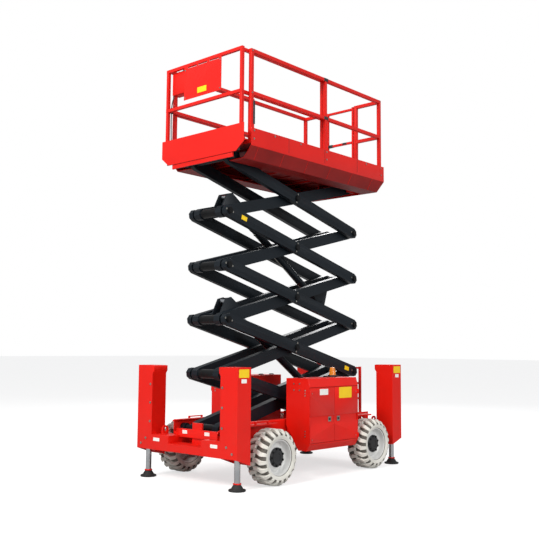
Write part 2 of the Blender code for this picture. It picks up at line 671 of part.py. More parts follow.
def scissor_stack():
    """Five stages of crossed arms, each pair of like arms one welded frame."""
    paint = finish_of("arm_paint", CHARCOAL)
    for stage in range(1, STAGES + 1):
        low_rear, high_front = joint_at(stage - 1, False), joint_at(stage, True)
        low_front, high_rear = joint_at(stage - 1, True), joint_at(stage, False)
        cross = (low_rear + high_front) / 2
        wide = OUTER_ARM_Y[1] + 0.006
        pieces = []
        for side, _ in SIDES:
            pieces.append(plate(arm_outline(low_rear, high_front), "Y", *span(side, *OUTER_ARM_Y)))
            pieces.append(across(cross, span(side, INNER_ARM_Y[0] - 0.004, wide), PIN_RADIUS))
        hinge_wide = HINGE_PLATE_Y[1] + 0.006 if stage == 1 else wide
        pieces.append(across(low_rear, (-hinge_wide, hinge_wide), PIN_RADIUS))
        pieces.append(across(high_front, (-wide, wide), PIN_RADIUS))
        if stage == STAGES:
            pieces += rollers(high_front)
        part(f"outer_arms_{stage}", pieces, paint, origin=low_rear)
        pieces = []
        sleeves = [low_front, high_rear]
        for side, _ in SIDES:
            pieces.append(plate(arm_outline(high_rear, low_front), "Y", *span(side, *INNER_ARM_Y)))
        for spot in sleeves:
            pieces.append(across(spot, (-INNER_ARM_Y[0] - 0.01, INNER_ARM_Y[0] + 0.01), SLEEVE_RADIUS))
        if stage in (1, 3):
            pieces += gusset(stage, False, BARREL_PIN_ALONG, -BARREL_PIN_BELOW, BARREL_EYE_RADIUS)
            tip = on_arm(stage, False, BARREL_PIN_ALONG, -BARREL_PIN_BELOW)
            pieces.append(across(tip, (-GUSSET_Y[1] - 0.008, GUSSET_Y[1] + 0.008), BARREL_PIN_RADIUS))
        if stage in (3, 5):
            pieces += gusset(stage, True, ROD_PIN_ALONG, ROD_PIN_ABOVE, ROD_EYE_RADIUS)
        holes = [across(spot, (-0.4, 0.4), PIN_RADIUS + PIN_PLAY) for spot in sleeves + [cross]]
        if stage == 1:
            holes = holes[1:]
            pieces.append(across(low_front, (-0.36, 0.36), PIN_RADIUS))
            pieces += rollers(low_front)
        part(f"inner_arms_{stage}", pieces, paint, holes, origin=cross)


def rollers(spot):
    """Track rollers on the two ends of a sliding joint's shaft."""
    made = []
    for side, _ in SIDES:
        made.append(across(spot, span(side, *ROLLER_Y), ROLLER_RADIUS, ROUND_SIDES))
        made.append(across(spot, span(side, OUTER_ARM_Y[0], ROLLER_Y[1]), PIN_RADIUS))
    return made


def lift_cylinders():
    """Each barrel hinges under one inner frame's rear end and its rod reaches the frame two stages up."""
    for name, stage in (("lower", 1), ("upper", 3)):
        start = on_arm(stage, False, BARREL_PIN_ALONG, -BARREL_PIN_BELOW)
        end = on_arm(stage + 2, True, ROD_PIN_ALONG, ROD_PIN_ABOVE)
        run = (end - start).normalized()
        mouth = start + run * BARREL_LENGTH
        eye_half = GUSSET_Y[0] - 0.006
        pieces = [across(start, (-eye_half, eye_half), BARREL_EYE_RADIUS),
                  rod(start, mouth, BARREL_RADIUS, PIN_SIDES)]
        holes = [across(start, (-0.2, 0.2), BARREL_PIN_RADIUS + PIN_PLAY),
                 rod(start + run * 0.10, mouth + run * 0.1, ROD_RADIUS + PIN_PLAY, PIN_SIDES)]
        part(f"{name}_cylinder_barrel", pieces, finish_of("arm_paint", CHARCOAL), holes, origin=start)
        tail = end - run * ROD_LENGTH
        pieces = [rod(tail, end, ROD_RADIUS, PIN_SIDES), across(end, (-eye_half, eye_half), ROD_EYE_RADIUS)]
        part(f"{name}_cylinder_rod", pieces, finish_of("rod_chrome", STEEL, 0.2, 1.0), origin=end)


def platform():
    """Deck with its toe boards, two side guardrails, the rear guardrail and the entry gate."""
    red = finish_of("platform_paint", RED)
    low = BEAM_LOW
    floor = (DECK_BOTTOM, DECK_TOP)
    length = (DECK_REAR_X + 0.004, DECK_FRONT_X)
    toe_top = DECK_BOTTOM + TOE_BOARD_HEIGHT
    lip = DECK_BOTTOM - DECK_FLANK_LIP
    pieces = [box(length, (-DECK_HALF_WIDTH + 0.004, DECK_HALF_WIDTH - 0.004), floor)]
    tread = (REAR_POST_X + POST_TUBE, EXTENSION_REAR_X - 0.03)
    pieces.append(box(tread, (-TREAD_HALF_WIDTH, TREAD_HALF_WIDTH),
                      (DECK_TOP - WELD, DECK_TOP + TREAD_THICKNESS)))
    for side, _ in SIDES:
        pieces.append(box((DECK_REAR_X, DECK_FRONT_X), span(side, DECK_HALF_WIDTH - PLATE, DECK_HALF_WIDTH),
                          (DECK_BOTTOM, toe_top)))
        beam = (DECK_REAR_X + PLATE - 0.004, DECK_FRONT_X - 0.002)
        skin = DECK_HALF_WIDTH - PLATE
        flank = [(side * DECK_KEEL_Y, low), (side * DECK_HALF_WIDTH, lip),
                 (side * DECK_HALF_WIDTH, DECK_BOTTOM + 0.004), (side * skin, DECK_BOTTOM + 0.004),
                 (side * skin, lip + 0.005), (side * (DECK_KEEL_Y - 0.014), low)]
        pieces.append(plate(flank, "X", *beam))
        pieces.append(box(beam, span(side, RAIL_Y_IN, DECK_KEEL_Y - 0.004), (low, low + PLATE)))
        bracket = (HINGE_X - 0.08, HINGE_X + 0.08)
        pieces.append(box(bracket, span(side, INNER_ARM_Y[1] + 0.010, INNER_ARM_Y[1] + 0.035),
                          (PLATFORM_HINGE_Z - 0.055, DECK_BOTTOM + 0.004)))
    end_line = []
    for side in (1, -1):
        outer = side * DECK_HALF_WIDTH
        corner = [(side * DECK_KEEL_Y, low), (outer, lip), (outer, toe_top)]
        end_line += corner if side == 1 else corner[::-1]
    pieces.append(plate(end_line, "X", DECK_REAR_X, DECK_REAR_X + PLATE))
    pin_y = INNER_ARM_Y[1] + 0.04
    pieces.append(across(Vector((HINGE_X, 0, PLATFORM_HINGE_Z)), (-pin_y, pin_y), PIN_RADIUS))
    ribs = int((DECK_FRONT_X - DECK_REAR_X) / DECK_RIB_PITCH)
    for k in range(ribs):
        x = DECK_FRONT_X - 0.693 - k * DECK_RIB_PITCH
        rib_y = DECK_HALF_WIDTH - 0.006
        pieces.append(box((x - DECK_RIB_WIDTH / 2, x + DECK_RIB_WIDTH / 2), (-rib_y, rib_y),
                          (DECK_BOTTOM - DECK_RIB_DEPTH, DECK_BOTTOM + 0.004)))
    part("main_deck", pieces, red)

    outer = DECK_HALF_WIDTH - PLATE - SEAT_GAP
    stand = DECK_TOP + SEAT_GAP
    tube, post = RAIL_TUBE, POST_TUBE
    rear = (REAR_POST_X - post / 2, REAR_POST_X + post / 2)
    for side, side_name in SIDES:
        y = span(side, outer - post, outer)
        pieces = [box((rear[0], DECK_FRONT_X), y, (RAIL_TOP_Z - tube, RAIL_TOP_Z)),
                  box((rear[0] + 0.001, DECK_FRONT_X - 0.001), y, (MID_RAIL_Z - tube, MID_RAIL_Z))]
        for x in (REAR_POST_X, MID_POST_X, FRONT_POST_X - post / 2 - 0.0005):
            post_x = (x - post / 2 + 0.0005, x + post / 2 - 0.0005)
            pieces.append(box(post_x, y, (stand, RAIL_TOP_Z - 0.001)))
        part(side_name + "_guardrail", pieces, red)

    inner = outer - post - SEAT_GAP
    pieces = []
    left_post, right_post = (GATE_Y_LEFT, GATE_Y_LEFT + post), (GATE_Y_RIGHT - post, GATE_Y_RIGHT)
    for near, reach in ((left_post[0] + 0.001, inner), (right_post[1] - 0.001, -inner)):
        pieces.append(box(rear, (near, reach), (RAIL_TOP_Z - tube, RAIL_TOP_Z)))
        mid = (rear[0] + 0.001, rear[1] - 0.001)
        pieces.append(box(mid, (near, reach), (MID_RAIL_Z - tube, MID_RAIL_Z)))
    for y in (left_post, right_post):
        pieces.append(box(rear, y, (stand, RAIL_TOP_Z - 0.001)))
    foot_bar = (stand, stand + 0.030)
    pieces.append(box((rear[0] + 0.006, rear[1] - 0.006),
                      (right_post[0] + 0.004, left_post[1] - 0.004), foot_bar))
    gate_y = GATE_Y_LEFT - 0.031
    hinge = (REAR_POST_X, gate_y)
    gate_low, gate_high = stand + 0.050, RAIL_TOP_Z - 0.020
    lugs = ((gate_low - 0.012, gate_low - 0.004), (gate_high + 0.004, gate_high + 0.012))
    pins = ((gate_low - 0.010, gate_low + 0.030), (gate_high - 0.030, gate_high + 0.010))
    for lug, pin in zip(lugs, pins):
        pieces.append(box((REAR_POST_X - 0.018, REAR_POST_X + 0.018),
                          (gate_y - 0.018, GATE_Y_LEFT + 0.004), lug))
        pieces.append(rod((*hinge, pin[0]), (*hinge, pin[1]), GATE_HINGE_RADIUS, GATE_PIN_SIDES))
    part("rear_guardrail", pieces, red)

    half = GATE_TUBE / 2
    x = (REAR_POST_X - half, REAR_POST_X + half)
    left, right = gate_y + half, GATE_Y_RIGHT + RUN_GAP
    pieces = [box(x, (gate_y - half, left), (gate_low, gate_high)),
              box(x, (right, right + GATE_TUBE), (gate_low, gate_high))]
    for top in (gate_high, MID_RAIL_Z, gate_low + GATE_TUBE):
        pieces.append(box((x[0] + 0.001, x[1] - 0.001), (right + 0.002, left - 0.002),
                          (top - GATE_TUBE + 0.001, top - 0.001)))
    bores = []
    for z in ((gate_low - 0.1, gate_low + 0.034), (gate_high - 0.034, gate_high + 0.1)):
        bores.append(rod((*hinge, z[0]), (*hinge, z[1]), GATE_HINGE_RADIUS + PIN_PLAY, GATE_PIN_SIDES))
    part("gate", pieces, red, bores, origin=(REAR_POST_X, gate_y, gate_low))


def extension():
    """The sliding front deck with its nested guardrails, front plate and controls."""
    red = finish_of("platform_paint", RED)
    pad = (DECK_TOP + SEAT_GAP, DECK_TOP + SEAT_GAP + EXTENSION_PAD)
    floor = (pad[1] - 0.001, pad[1] + EXTENSION_FLOOR)
    front = EXTENSION_FRONT_X
    tube = EXTENSION_TUBE
    rail_in = EXTENSION_RAIL_Y - 0.004 - tube
    pieces = [box((EXTENSION_REAR_X, front - 0.001), (-rail_in - 0.016, rail_in + 0.016), floor),
              box((front - 0.066, front), (-EXTENSION_POST_Y, EXTENSION_POST_Y), floor),
              box((front - 0.020, front - 0.0005), (-EXTENSION_BEAM_HALF_WIDTH, EXTENSION_BEAM_HALF_WIDTH),
                  (BEAM_LOW, floor[0] + 0.004))]
    for side, _ in SIDES:
        pieces.append(box((EXTENSION_REAR_X + WELD, DECK_FRONT_X - 0.01), span(side, *EXTENSION_PAD_Y), pad))
    low, high = DECK_BOTTOM - EXTENSION_TOE_BELOW, DECK_BOTTOM + EXTENSION_TOE_ABOVE
    outline = []
    for side in (1, -1):
        outer = side * EXTENSION_TOE_HALF_WIDTH
        corner = [(outer - side * 0.125, low), (outer, low + 0.10), (outer, high)]
        outline += corner if side == 1 else corner[::-1]
    pieces.append(plate(outline, "X", front - 0.001, front + PLATE))
    part("extension_deck", pieces, red)

    stand = floor[1] + SEAT_GAP
    back = front - 0.0015
    pieces = []
    rail_out = EXTENSION_RAIL_Y - 0.004
    for z in (RAIL_TOP_Z, MID_RAIL_Z):
        pieces.append(box((back - tube, back), (-EXTENSION_POST_Y, EXTENSION_POST_Y), (z - tube, z)))
        for side, _ in SIDES:
            pieces.append(box((EXTENSION_REAR_X, back - WELD), span(side, rail_in, rail_out),
                              (z - tube + 0.001, z - 0.001)))
    tall = (stand, RAIL_TOP_Z - 0.002)
    for side, _ in SIDES:
        front_y = span(side, EXTENSION_POST_Y - tube, EXTENSION_POST_Y - 0.001)
        pieces.append(box((back - tube - 0.001, back - 0.001), front_y, tall))
        rear_y = span(side, rail_in + 0.001, rail_out - 0.001)
        pieces.append(box((EXTENSION_REAR_X + 0.001, EXTENSION_REAR_X + tube), rear_y, tall))
    part("extension_guardrail", pieces, red)
    sign = (back + SEAT_GAP, back + SEAT_GAP + 0.005)
    slots = []
    for middle in (-0.19, 0.0, 0.209):
        slots.append(box((front - 0.1, front + 0.1), (middle - 0.084, middle + 0.084),
                         (DECK_TOP + SIGN_TOP - 0.030, DECK_TOP + SIGN_TOP - 0.012)))
    sign_z = (DECK_TOP + SIGN_BOTTOM, DECK_TOP + SIGN_TOP)
    part("sign_plate", [box(sign, (-SIGN_HALF_WIDTH, SIGN_HALF_WIDTH), sign_z)], red, slots)
    box_x = (back - tube - SEAT_GAP - 0.125, back - tube - SEAT_GAP)
    stalk = (box_x[0] + 0.06, CONTROL_STALK_Y)
    control_z = (DECK_TOP + CONTROL_BOTTOM, DECK_TOP + CONTROL_TOP)
    lever = rod((*stalk, control_z[1] - 0.01), (*stalk, control_z[1] + 0.05), 0.014)
    part("control_box", [box(box_x, CONTROL_Y, control_z), lever], finish_of("control_plastic", BLACK, 0.5))


def build():
    """All the sub-parts of the machine."""
    chassis_frame()
    crossbeams()
    axles()
    ladder()
    outriggers()
    wheels()
    side_covers()
    scissor_stack()
    lift_cylinders()
    platform()
    extension()
    bpy.data.collections.remove(WORKSHOP)


build()
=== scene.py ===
"""Finish and fine detail of the rough-terrain scissor lift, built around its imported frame."""

import json
import math

import bmesh
import bpy
from mathutils import Matrix, Vector


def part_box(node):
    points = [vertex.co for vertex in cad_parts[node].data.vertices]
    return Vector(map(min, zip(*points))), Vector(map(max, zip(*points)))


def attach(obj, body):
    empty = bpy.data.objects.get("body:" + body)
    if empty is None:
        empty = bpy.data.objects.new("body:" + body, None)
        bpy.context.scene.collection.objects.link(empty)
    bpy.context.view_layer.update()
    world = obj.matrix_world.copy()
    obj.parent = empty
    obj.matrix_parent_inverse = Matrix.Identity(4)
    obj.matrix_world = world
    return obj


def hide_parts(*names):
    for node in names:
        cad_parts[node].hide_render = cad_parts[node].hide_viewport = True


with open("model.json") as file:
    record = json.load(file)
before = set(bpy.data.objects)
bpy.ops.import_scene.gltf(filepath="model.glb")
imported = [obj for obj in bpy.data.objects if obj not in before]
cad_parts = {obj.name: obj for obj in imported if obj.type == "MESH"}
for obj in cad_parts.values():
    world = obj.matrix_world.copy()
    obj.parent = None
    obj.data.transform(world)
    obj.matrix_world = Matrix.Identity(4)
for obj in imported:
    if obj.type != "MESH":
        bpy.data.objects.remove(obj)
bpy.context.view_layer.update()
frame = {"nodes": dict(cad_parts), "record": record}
NODES = frame["nodes"]
BODY_OF = {node: body for body, nodes in frame["record"]["behaviour"]["bodies"].items() for node in nodes}
JOINTS = {joint["name"]: joint for joint in frame["record"]["behaviour"]["joints"]}
SLOT_OF = {row["node"]: row["material_slot"] for row in frame["record"]["subparts"]}
SIDES = ((1, "left"), (-1, "right"))
ENDS = ((1, "front"), (-1, "rear"))
SHEET = 0.0012  # thickness of a stuck-on label
PROUD = 0.0006  # how far a label or washer stands off its plate


# ---------------------------------------------------------------- node helper and colours

def linear(hex_colour):
    """An sRGB hex colour as linear RGBA."""
    channels = [int(hex_colour[k:k + 2], 16) / 255 for k in (1, 3, 5)]
    return tuple(c / 12.92 if c <= 0.04045 else ((c + 0.055) / 1.055) ** 2.4 for c in channels) + (1.0,)


def add(tree, kind, links=None, **settings):
    """A node with its settings and links; a setting named as an input sets that input."""
    node = tree.nodes.new(kind)
    for key, value in settings.items():
        name = key.replace("_", " ")
        if hasattr(node, key):
            setattr(node, key, value)
        else:
            match = [s for s in node.inputs if s.name.lower() == name.lower()]
            match[0].default_value = value
    for name, source in (links or {}).items():
        target = node.inputs[name]
        tree.links.new(source, target)
    return node


def ramp(tree, fac, stops):
    """A colour ramp through (position, colour) stops."""
    node = add(tree, "ShaderNodeValToRGB", {"Fac": fac})
    elements = node.color_ramp.elements
    while len(elements) < len(stops):
        elements.new(0.5)
    for element, (place, colour) in zip(elements, stops):
        element.position = place
        element.color = colour
    return node.outputs["Color"]


def surface(name, shader_values):
    """An empty Principled material; returns it with its tree, shader and object coordinates."""
    material = bpy.data.materials.new(name)
    material.use_nodes = True
    tree = material.node_tree
    shader = tree.nodes["Principled BSDF"]
    for socket, value in shader_values.items():
        shader.inputs[socket].default_value = value
    place = tree.nodes.new("ShaderNodeTexCoord").outputs["Object"]
    return material, tree, shader, place


def painted(name, base, dust, roughness, coat=0.35, peel_mm=5.0, bump=0.02, grime_height=1.2,
            gloss=0.25):
    """Sprayed enamel over steel: an even colour, soft tone drift, orange peel and dust low down."""
    material, tree, shader, place = surface(name, {"Coat Weight": coat, "Coat Roughness": 0.12, "IOR": 1.5,
                                                          "Specular IOR Level": gloss})
    drift = add(tree, "ShaderNodeTexNoise", {"Vector": place}, Scale=1.7, Detail=3.0)
    tone = ramp(tree, drift.outputs["Fac"], [(0.3, linear(base[0])), (0.7, linear(base[1]))])
    split = add(tree, "ShaderNodeSeparateXYZ", {"Vector": place})
    height = add(tree, "ShaderNodeMapRange", {"Value": split.outputs["Z"]})
    for socket, value in (("From Min", grime_height), ("From Max", 0.05), ("To Min", 0.0), ("To Max", 0.22)):
        height.inputs[socket].default_value = value
    speck = add(tree, "ShaderNodeTexNoise", {"Vector": place}, Scale=9.0, Detail=6.0, Roughness=0.65)
    patch = ramp(tree, speck.outputs["Fac"], [(0.45, (0, 0, 0, 1)), (0.75, (1, 1, 1, 1))])
    cover = add(tree, "ShaderNodeMath", operation="MULTIPLY")
    tree.links.new(height.outputs["Result"], cover.inputs[0])
    tree.links.new(patch, cover.inputs[1])
    mixed = add(tree, "ShaderNodeMix", data_type="RGBA")
    tree.links.new(cover.outputs[0], mixed.inputs[0])
    tree.links.new(tone, mixed.inputs[6])
    mixed.inputs[7].default_value = linear(dust)
    tree.links.new(mixed.outputs[2], shader.inputs["Base Color"])
    rough = add(tree, "ShaderNodeMapRange", {"Value": speck.outputs["Fac"]})
    for socket, value in (("To Min", roughness - 0.06), ("To Max", roughness + 0.10)):
        rough.inputs[socket].default_value = value
    tree.links.new(rough.outputs["Result"], shader.inputs["Roughness"])
    peel = add(tree, "ShaderNodeTexNoise", {"Vector": place}, Scale=1000 / peel_mm, Detail=1.0)
    relief = add(tree, "ShaderNodeBump", {"Height": peel.outputs["Fac"]}, Strength=bump, Distance=0.002)
    tree.links.new(relief.outputs["Normal"], shader.inputs["Normal"])
    return material


def plain(name, base, roughness, metallic=0.0, grain_mm=3.0, bump=0.05, spread=0.08, extra=None):
    """A moulded, machined or rubber surface: two close tones, with its grain in the roughness and relief."""
    material, tree, shader, place = surface(name, {"Metallic": metallic, **(extra or {})})
    grain = add(tree, "ShaderNodeTexNoise", {"Vector": place}, Scale=1000 / grain_mm / 4, Detail=5.0)
    blot = add(tree, "ShaderNodeTexNoise", {"Vector": place}, Scale=6.0, Detail=4.0)
    tone = ramp(tree, blot.outputs["Fac"], [(0.3, linear(base[0])), (0.72, linear(base[1]))])
    tree.links.new(tone, shader.inputs["Base Color"])
    rough = add(tree, "ShaderNodeMapRange", {"Value": grain.outputs["Fac"]})
    rough.inputs["To Min"].default_value = max(0.02, roughness - spread)
    rough.inputs["To Max"].default_value = min(1.0, roughness + spread)
    tree.links.new(rough.outputs["Result"], shader.inputs["Roughness"])
    relief = add(tree, "ShaderNodeBump", {"Height": grain.outputs["Fac"]}, Strength=bump, Distance=0.001)
    tree.links.new(relief.outputs["Normal"], shader.inputs["Normal"])
    return material


# Two-pack polyurethane enamel, sprayed: deep gloss red with faint orange peel.
ENAMEL = painted("red_polyurethane_enamel", ("#E2180A", "#D81407"), "#9C3A2C", 0.40, coat=0.08)
# The same enamel on the platform, clean, well above the dust.
PLATFORM_ENAMEL = painted("red_platform_enamel", ("#DC1A10", "#D1160D"), "#9C3A2C", 0.40, coat=0.08,
                         grime_height=0.3)
# A darker copy of the platform's enamel, as painted shade on the faces that look down, with the same dust
# mix.
SHADED_UNDERSIDE_ENAMEL = painted("painted_shade_underside_enamel", ("#9A1612", "#7F100D"), "#5A1512", 0.5, coat=0.1)
# Enamel on axles and castings, thicker and duller, with road dust.
AXLE_ENAMEL = painted("dark_red_axle_enamel", ("#8E1A14", "#74130F"), "#6B5148", 0.5, coat=0.1, bump=0.08)
# Powder coat on the arms: blue-black satin with a fine orange-peel texture.
ARM_COAT = painted("blue_black_powder_coat", ("#121A21", "#0D141A"), "#2B2E31", 0.42, coat=0.0, peel_mm=3.0,
                   bump=0.05)
# Hard-chromed cylinder rod, ground round its length.
CHROME = plain("hard_chrome_rod", ("#C9CCCF", "#B4B8BC"), 0.16, 1.0, 1.5, 0.02, 0.06)
# Zinc-plated fasteners and pins, dull silver.
ZINC = plain("zinc_plated_steel", ("#B9B7AF", "#8E8C86"), 0.38, 1.0, 1.0, 0.05)
# Black oxide bolts on the arms.
BLACK_STEEL = plain("black_oxide_steel", ("#1E1F21", "#121314"), 0.42, 0.7, 1.0, 0.05)
# Non-marking natural rubber, off-white and matt with grey scuffing.
TYRE_RUBBER = plain("non_marking_rubber", ("#E2E0D8", "#CFCDC4"), 0.82, 0.0, 4.0, 0.25)
# Grooves between the lugs: the off-white rubber painted dark grey, as painted shade in the grooves.
SHADED_GROOVE_RUBBER = plain("groove_rubber_painted_shade", ("#6E6B64", "#4C4944"), 0.9, 0.0, 4.0, 0.3)
# Cast wheel disc in silver wheel paint.
RIM_PAINT = plain("silver_wheel_paint", ("#E2E2E0", "#D2D2D0"), 0.42, 0.10, 2.0, 0.05)
# Black moulded rubber of the feet, bumpers and edge trims.
BLACK_RUBBER = plain("black_moulded_rubber", ("#232323", "#161616"), 0.75, 0.0, 2.0, 0.15)
# Black glass-filled nylon of handles and boxes.
BLACK_NYLON = plain("black_nylon", ("#26272A", "#1B1C1E"), 0.5, 0.0, 0.8, 0.15)
# Printed vinyl labels, left blank.
YELLOW_VINYL = plain("yellow_vinyl_label", ("#F6CE12", "#F0C50E"), 0.35, 0.0, 2.0, 0.01)
WHITE_VINYL = plain("white_vinyl_label", ("#F2F2EE", "#E6E6E1"), 0.35, 0.0, 2.0, 0.01)
# Amber polycarbonate lens.
AMBER_LENS = plain("amber_polycarbonate", ("#F09A1C", "#E08412"), 0.12, 0.0, 2.0, 0.02, 0.04,
                   {"Transmission Weight": 0.35, "IOR": 1.58})
# Grey cast iron of the engine.
CAST_IRON = plain("engine_cast_iron", ("#3A3B3D", "#2A2B2C"), 0.6, 0.7, 3.0, 0.3)
# Signal-red knob.
RED_KNOB = plain("red_moulded_knob", ("#D6150F", "#C2110C"), 0.3, 0.0, 2.0, 0.02)
FINISH_OF_SLOT = {
    "tyre": TYRE_RUBBER, "rim": RIM_PAINT, "arm_paint": ARM_COAT, "chrome_rod": CHROME,
    "foot_rubber": BLACK_RUBBER, "axle_paint": AXLE_ENAMEL, "engine": CAST_IRON, "beacon_lens": AMBER_LENS,
    "control_plastic": BLACK_NYLON, "red_paint": ENAMEL,
}


# ---------------------------------------------------------------- making pieces

def span(near, far, side):
    """Limits across the machine, on one side of its middle."""
    return (side * near, side * far)


def keep(name, mesh, finish, body, replaced=()):
    """Links a finished mesh as a piece of the machine that rides on a body."""
    obj = bpy.data.objects.new(name, mesh)
    bpy.context.scene.collection.objects.link(obj)
    if finish is not None:
        mesh.materials.clear()
        mesh.materials.append(finish)
    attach(obj, body)
    if replaced:
        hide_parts(*replaced)
    return obj


def shaded(mesh, angle=35):
    mesh.shade_smooth()
    mesh.set_sharp_from_angle(angle=math.radians(angle))
    return mesh


def mesh_from(work, name):
    """A mesh of a finished bmesh, its normals facing out."""
    bmesh.ops.recalc_face_normals(work, faces=work.faces)
    mesh = bpy.data.meshes.new(name)
    work.to_mesh(mesh)
    work.free()
    return shaded(mesh)


def softened(node, width=0.004, finish=None, segments=2, slot=None):
    """A CAD node's own shape with its edges rounded as folded and welded steel is."""
    source = NODES[node]
    mesh = source.data.copy()
    work = bmesh.new()
    work.from_mesh(mesh)
    bmesh.ops.remove_doubles(work, verts=work.verts, dist=0.00002)
    bmesh.ops.dissolve_limit(work, angle_limit=math.radians(1.0), verts=work.verts, edges=work.edges)
    # Large faces are split, so that the bevel shades them evenly.
    wide = [face for face in work.faces if len(face.verts) > 4]
    bmesh.ops.triangulate(work, faces=wide, quad_method="BEAUTY", ngon_method="BEAUTY")
    for face in work.faces:
        face.smooth = True
    work.to_mesh(mesh)
    work.free()
    mesh.set_sharp_from_angle(angle=math.radians(30))
    obj = bpy.data.objects.new(node + "_body", mesh)
    bpy.context.scene.collection.objects.link(obj)
    bevel = obj.modifiers.new("edges", "BEVEL")
    bevel.width = width
    bevel.segments = segments
    bevel.limit_method = "ANGLE"
    bevel.angle_limit = math.radians(40)
    bevel.use_clamp_overlap = True
    bevel.miter_outer = "MITER_ARC"
    bevel.harden_normals = True
    done = bpy.data.meshes.new_from_object(obj.evaluated_get(bpy.context.evaluated_depsgraph_get()))
    bpy.data.objects.remove(obj, do_unlink=True)
    name = SLOT_OF[node] if slot is None else slot
    return keep(node + "_finished", done, finish or FINISH_OF_SLOT[name], BODY_OF[node], (node,))


def block(work, x, y, z, bevel=0.0, turn=None):
    """A rounded block between limits, optionally turned about its middle."""
    low, high = Vector(map(min, (x, y, z))), Vector(map(max, (x, y, z)))
    made = bmesh.ops.create_cube(work, size=1.0)["verts"]
    bmesh.ops.scale(work, vec=high - low, verts=made)
    if bevel:
        edges = list({edge for vert in made for edge in vert.link_edges})
        rounded = bmesh.ops.bevel(work, geom=edges, offset=bevel, segments=2, profile=0.5, affect="EDGES")
        made = list({vert for face in rounded["faces"] for vert in face.verts}
                    | {v for v in made if v.is_valid})
    if turn is not None:
        bmesh.ops.rotate(work, cent=(0, 0, 0), matrix=turn, verts=made)
    bmesh.ops.translate(work, vec=(low + high) / 2, verts=made)


def bar(work, start, end, radius, sides=16, top=None):
    """A round bar from start to end."""
    start, end = Vector(start), Vector(end)
    run = end - start
    place = Matrix.Translation((start + end) / 2) @ run.to_track_quat("Z", "Y").to_matrix().to_4x4()
    bmesh.ops.create_cone(work, cap_ends=True, segments=sides, radius1=radius,
                          radius2=radius if top is None else top, depth=run.length, matrix=place)


def spun(profile, centre, axis, steps=64):
    """A closed (radius, along) profile turned about an axis, as a mesh."""
    work = bmesh.new()
    verts = [work.verts.new((radius, 0.0, along)) for radius, along in profile]
    loop = [work.edges.new((verts[k], verts[(k + 1) % len(verts)])) for k in range(len(verts))]
    bmesh.ops.spin(work, geom=verts + loop, axis=(0, 0, 1), cent=(0, 0, 0), steps=steps, angle=2 * math.pi,
                   use_merge=True)
    bmesh.ops.remove_doubles(work, verts=work.verts, dist=0.00001)
    place = Matrix.Translation(centre) @ Vector(axis).to_track_quat("Z", "Y").to_matrix().to_4x4()
    bmesh.ops.transform(work, matrix=place, verts=work.verts)
    return mesh_from(work, "turned")


def piece(name, body, finish, draw, replaced=()):
    """A piece that draw fills in with blocks and bars."""
    work = bmesh.new()
    draw(work)
    return keep(name, mesh_from(work, name), finish, body, replaced)


def label(name, body, corner, across, up, width, height, finish):
    """A blank sticker with rounded corners; corner is its middle, across and up its directions."""
    across, up = Vector(across).normalized(), Vector(up).normalized()
    out = across.cross(up)
    frame_of = Matrix((across, up, out)).transposed().to_4x4()
    work = bmesh.new()
    radius = min(width, height) * 0.08
    outline = []
    for cx, cy, first in ((1, 1, 0), (-1, 1, 90), (-1, -1, 180), (1, -1, 270)):
        for k in range(4):
            turn = math.radians(first + 30 * k)
            outline.append((cx * (width / 2 - radius) + radius * math.cos(turn),
                            cy * (height / 2 - radius) + radius * math.sin(turn)))
    face = work.faces.new([work.verts.new((a, b, PROUD)) for a, b in outline])
    raised = bmesh.ops.extrude_face_region(work, geom=[face])
    top = [v for v in raised["geom"] if isinstance(v, bmesh.types.BMVert)]
    bmesh.ops.translate(work, vec=(0, 0, SHEET), verts=top)
    bmesh.ops.transform(work, matrix=Matrix.Translation(corner) @ frame_of, verts=work.verts)
    return keep(name, mesh_from(work, name), finish, body)


# ---------------------------------------------------------------- what repeats, by Geometry Nodes

def geometry_tree(name, inputs):
    """A new Geometry Nodes tree with a geometry in and out and named value inputs."""
    tree = bpy.data.node_groups.new(name, "GeometryNodeTree")
    tree.interface.new_socket("Geometry", in_out="INPUT", socket_type="NodeSocketGeometry")
    tree.interface.new_socket("Geometry", in_out="OUTPUT", socket_type="NodeSocketGeometry")
    for label_, kind in inputs:
        tree.interface.new_socket(label_, in_out="INPUT", socket_type=kind)
    return tree, tree.nodes.new("NodeGroupInput"), tree.nodes.new("NodeGroupOutput")


def grown(tree, mesh, values):
    """The tree's result on a mesh, with its named inputs set, as a plain mesh."""
    obj = bpy.data.objects.new("seed", mesh)
    bpy.context.scene.collection.objects.link(obj)
    nodes = obj.modifiers.new("grow", "NODES")
    nodes.node_group = tree
    for item in tree.interface.items_tree:
        if item.in_out == "INPUT" and item.name in values:
            nodes[item.identifier] = values[item.name]
    done = bpy.data.meshes.new_from_object(obj.evaluated_get(bpy.context.evaluated_depsgraph_get()))
    bpy.data.objects.remove(obj, do_unlink=True)
    return done


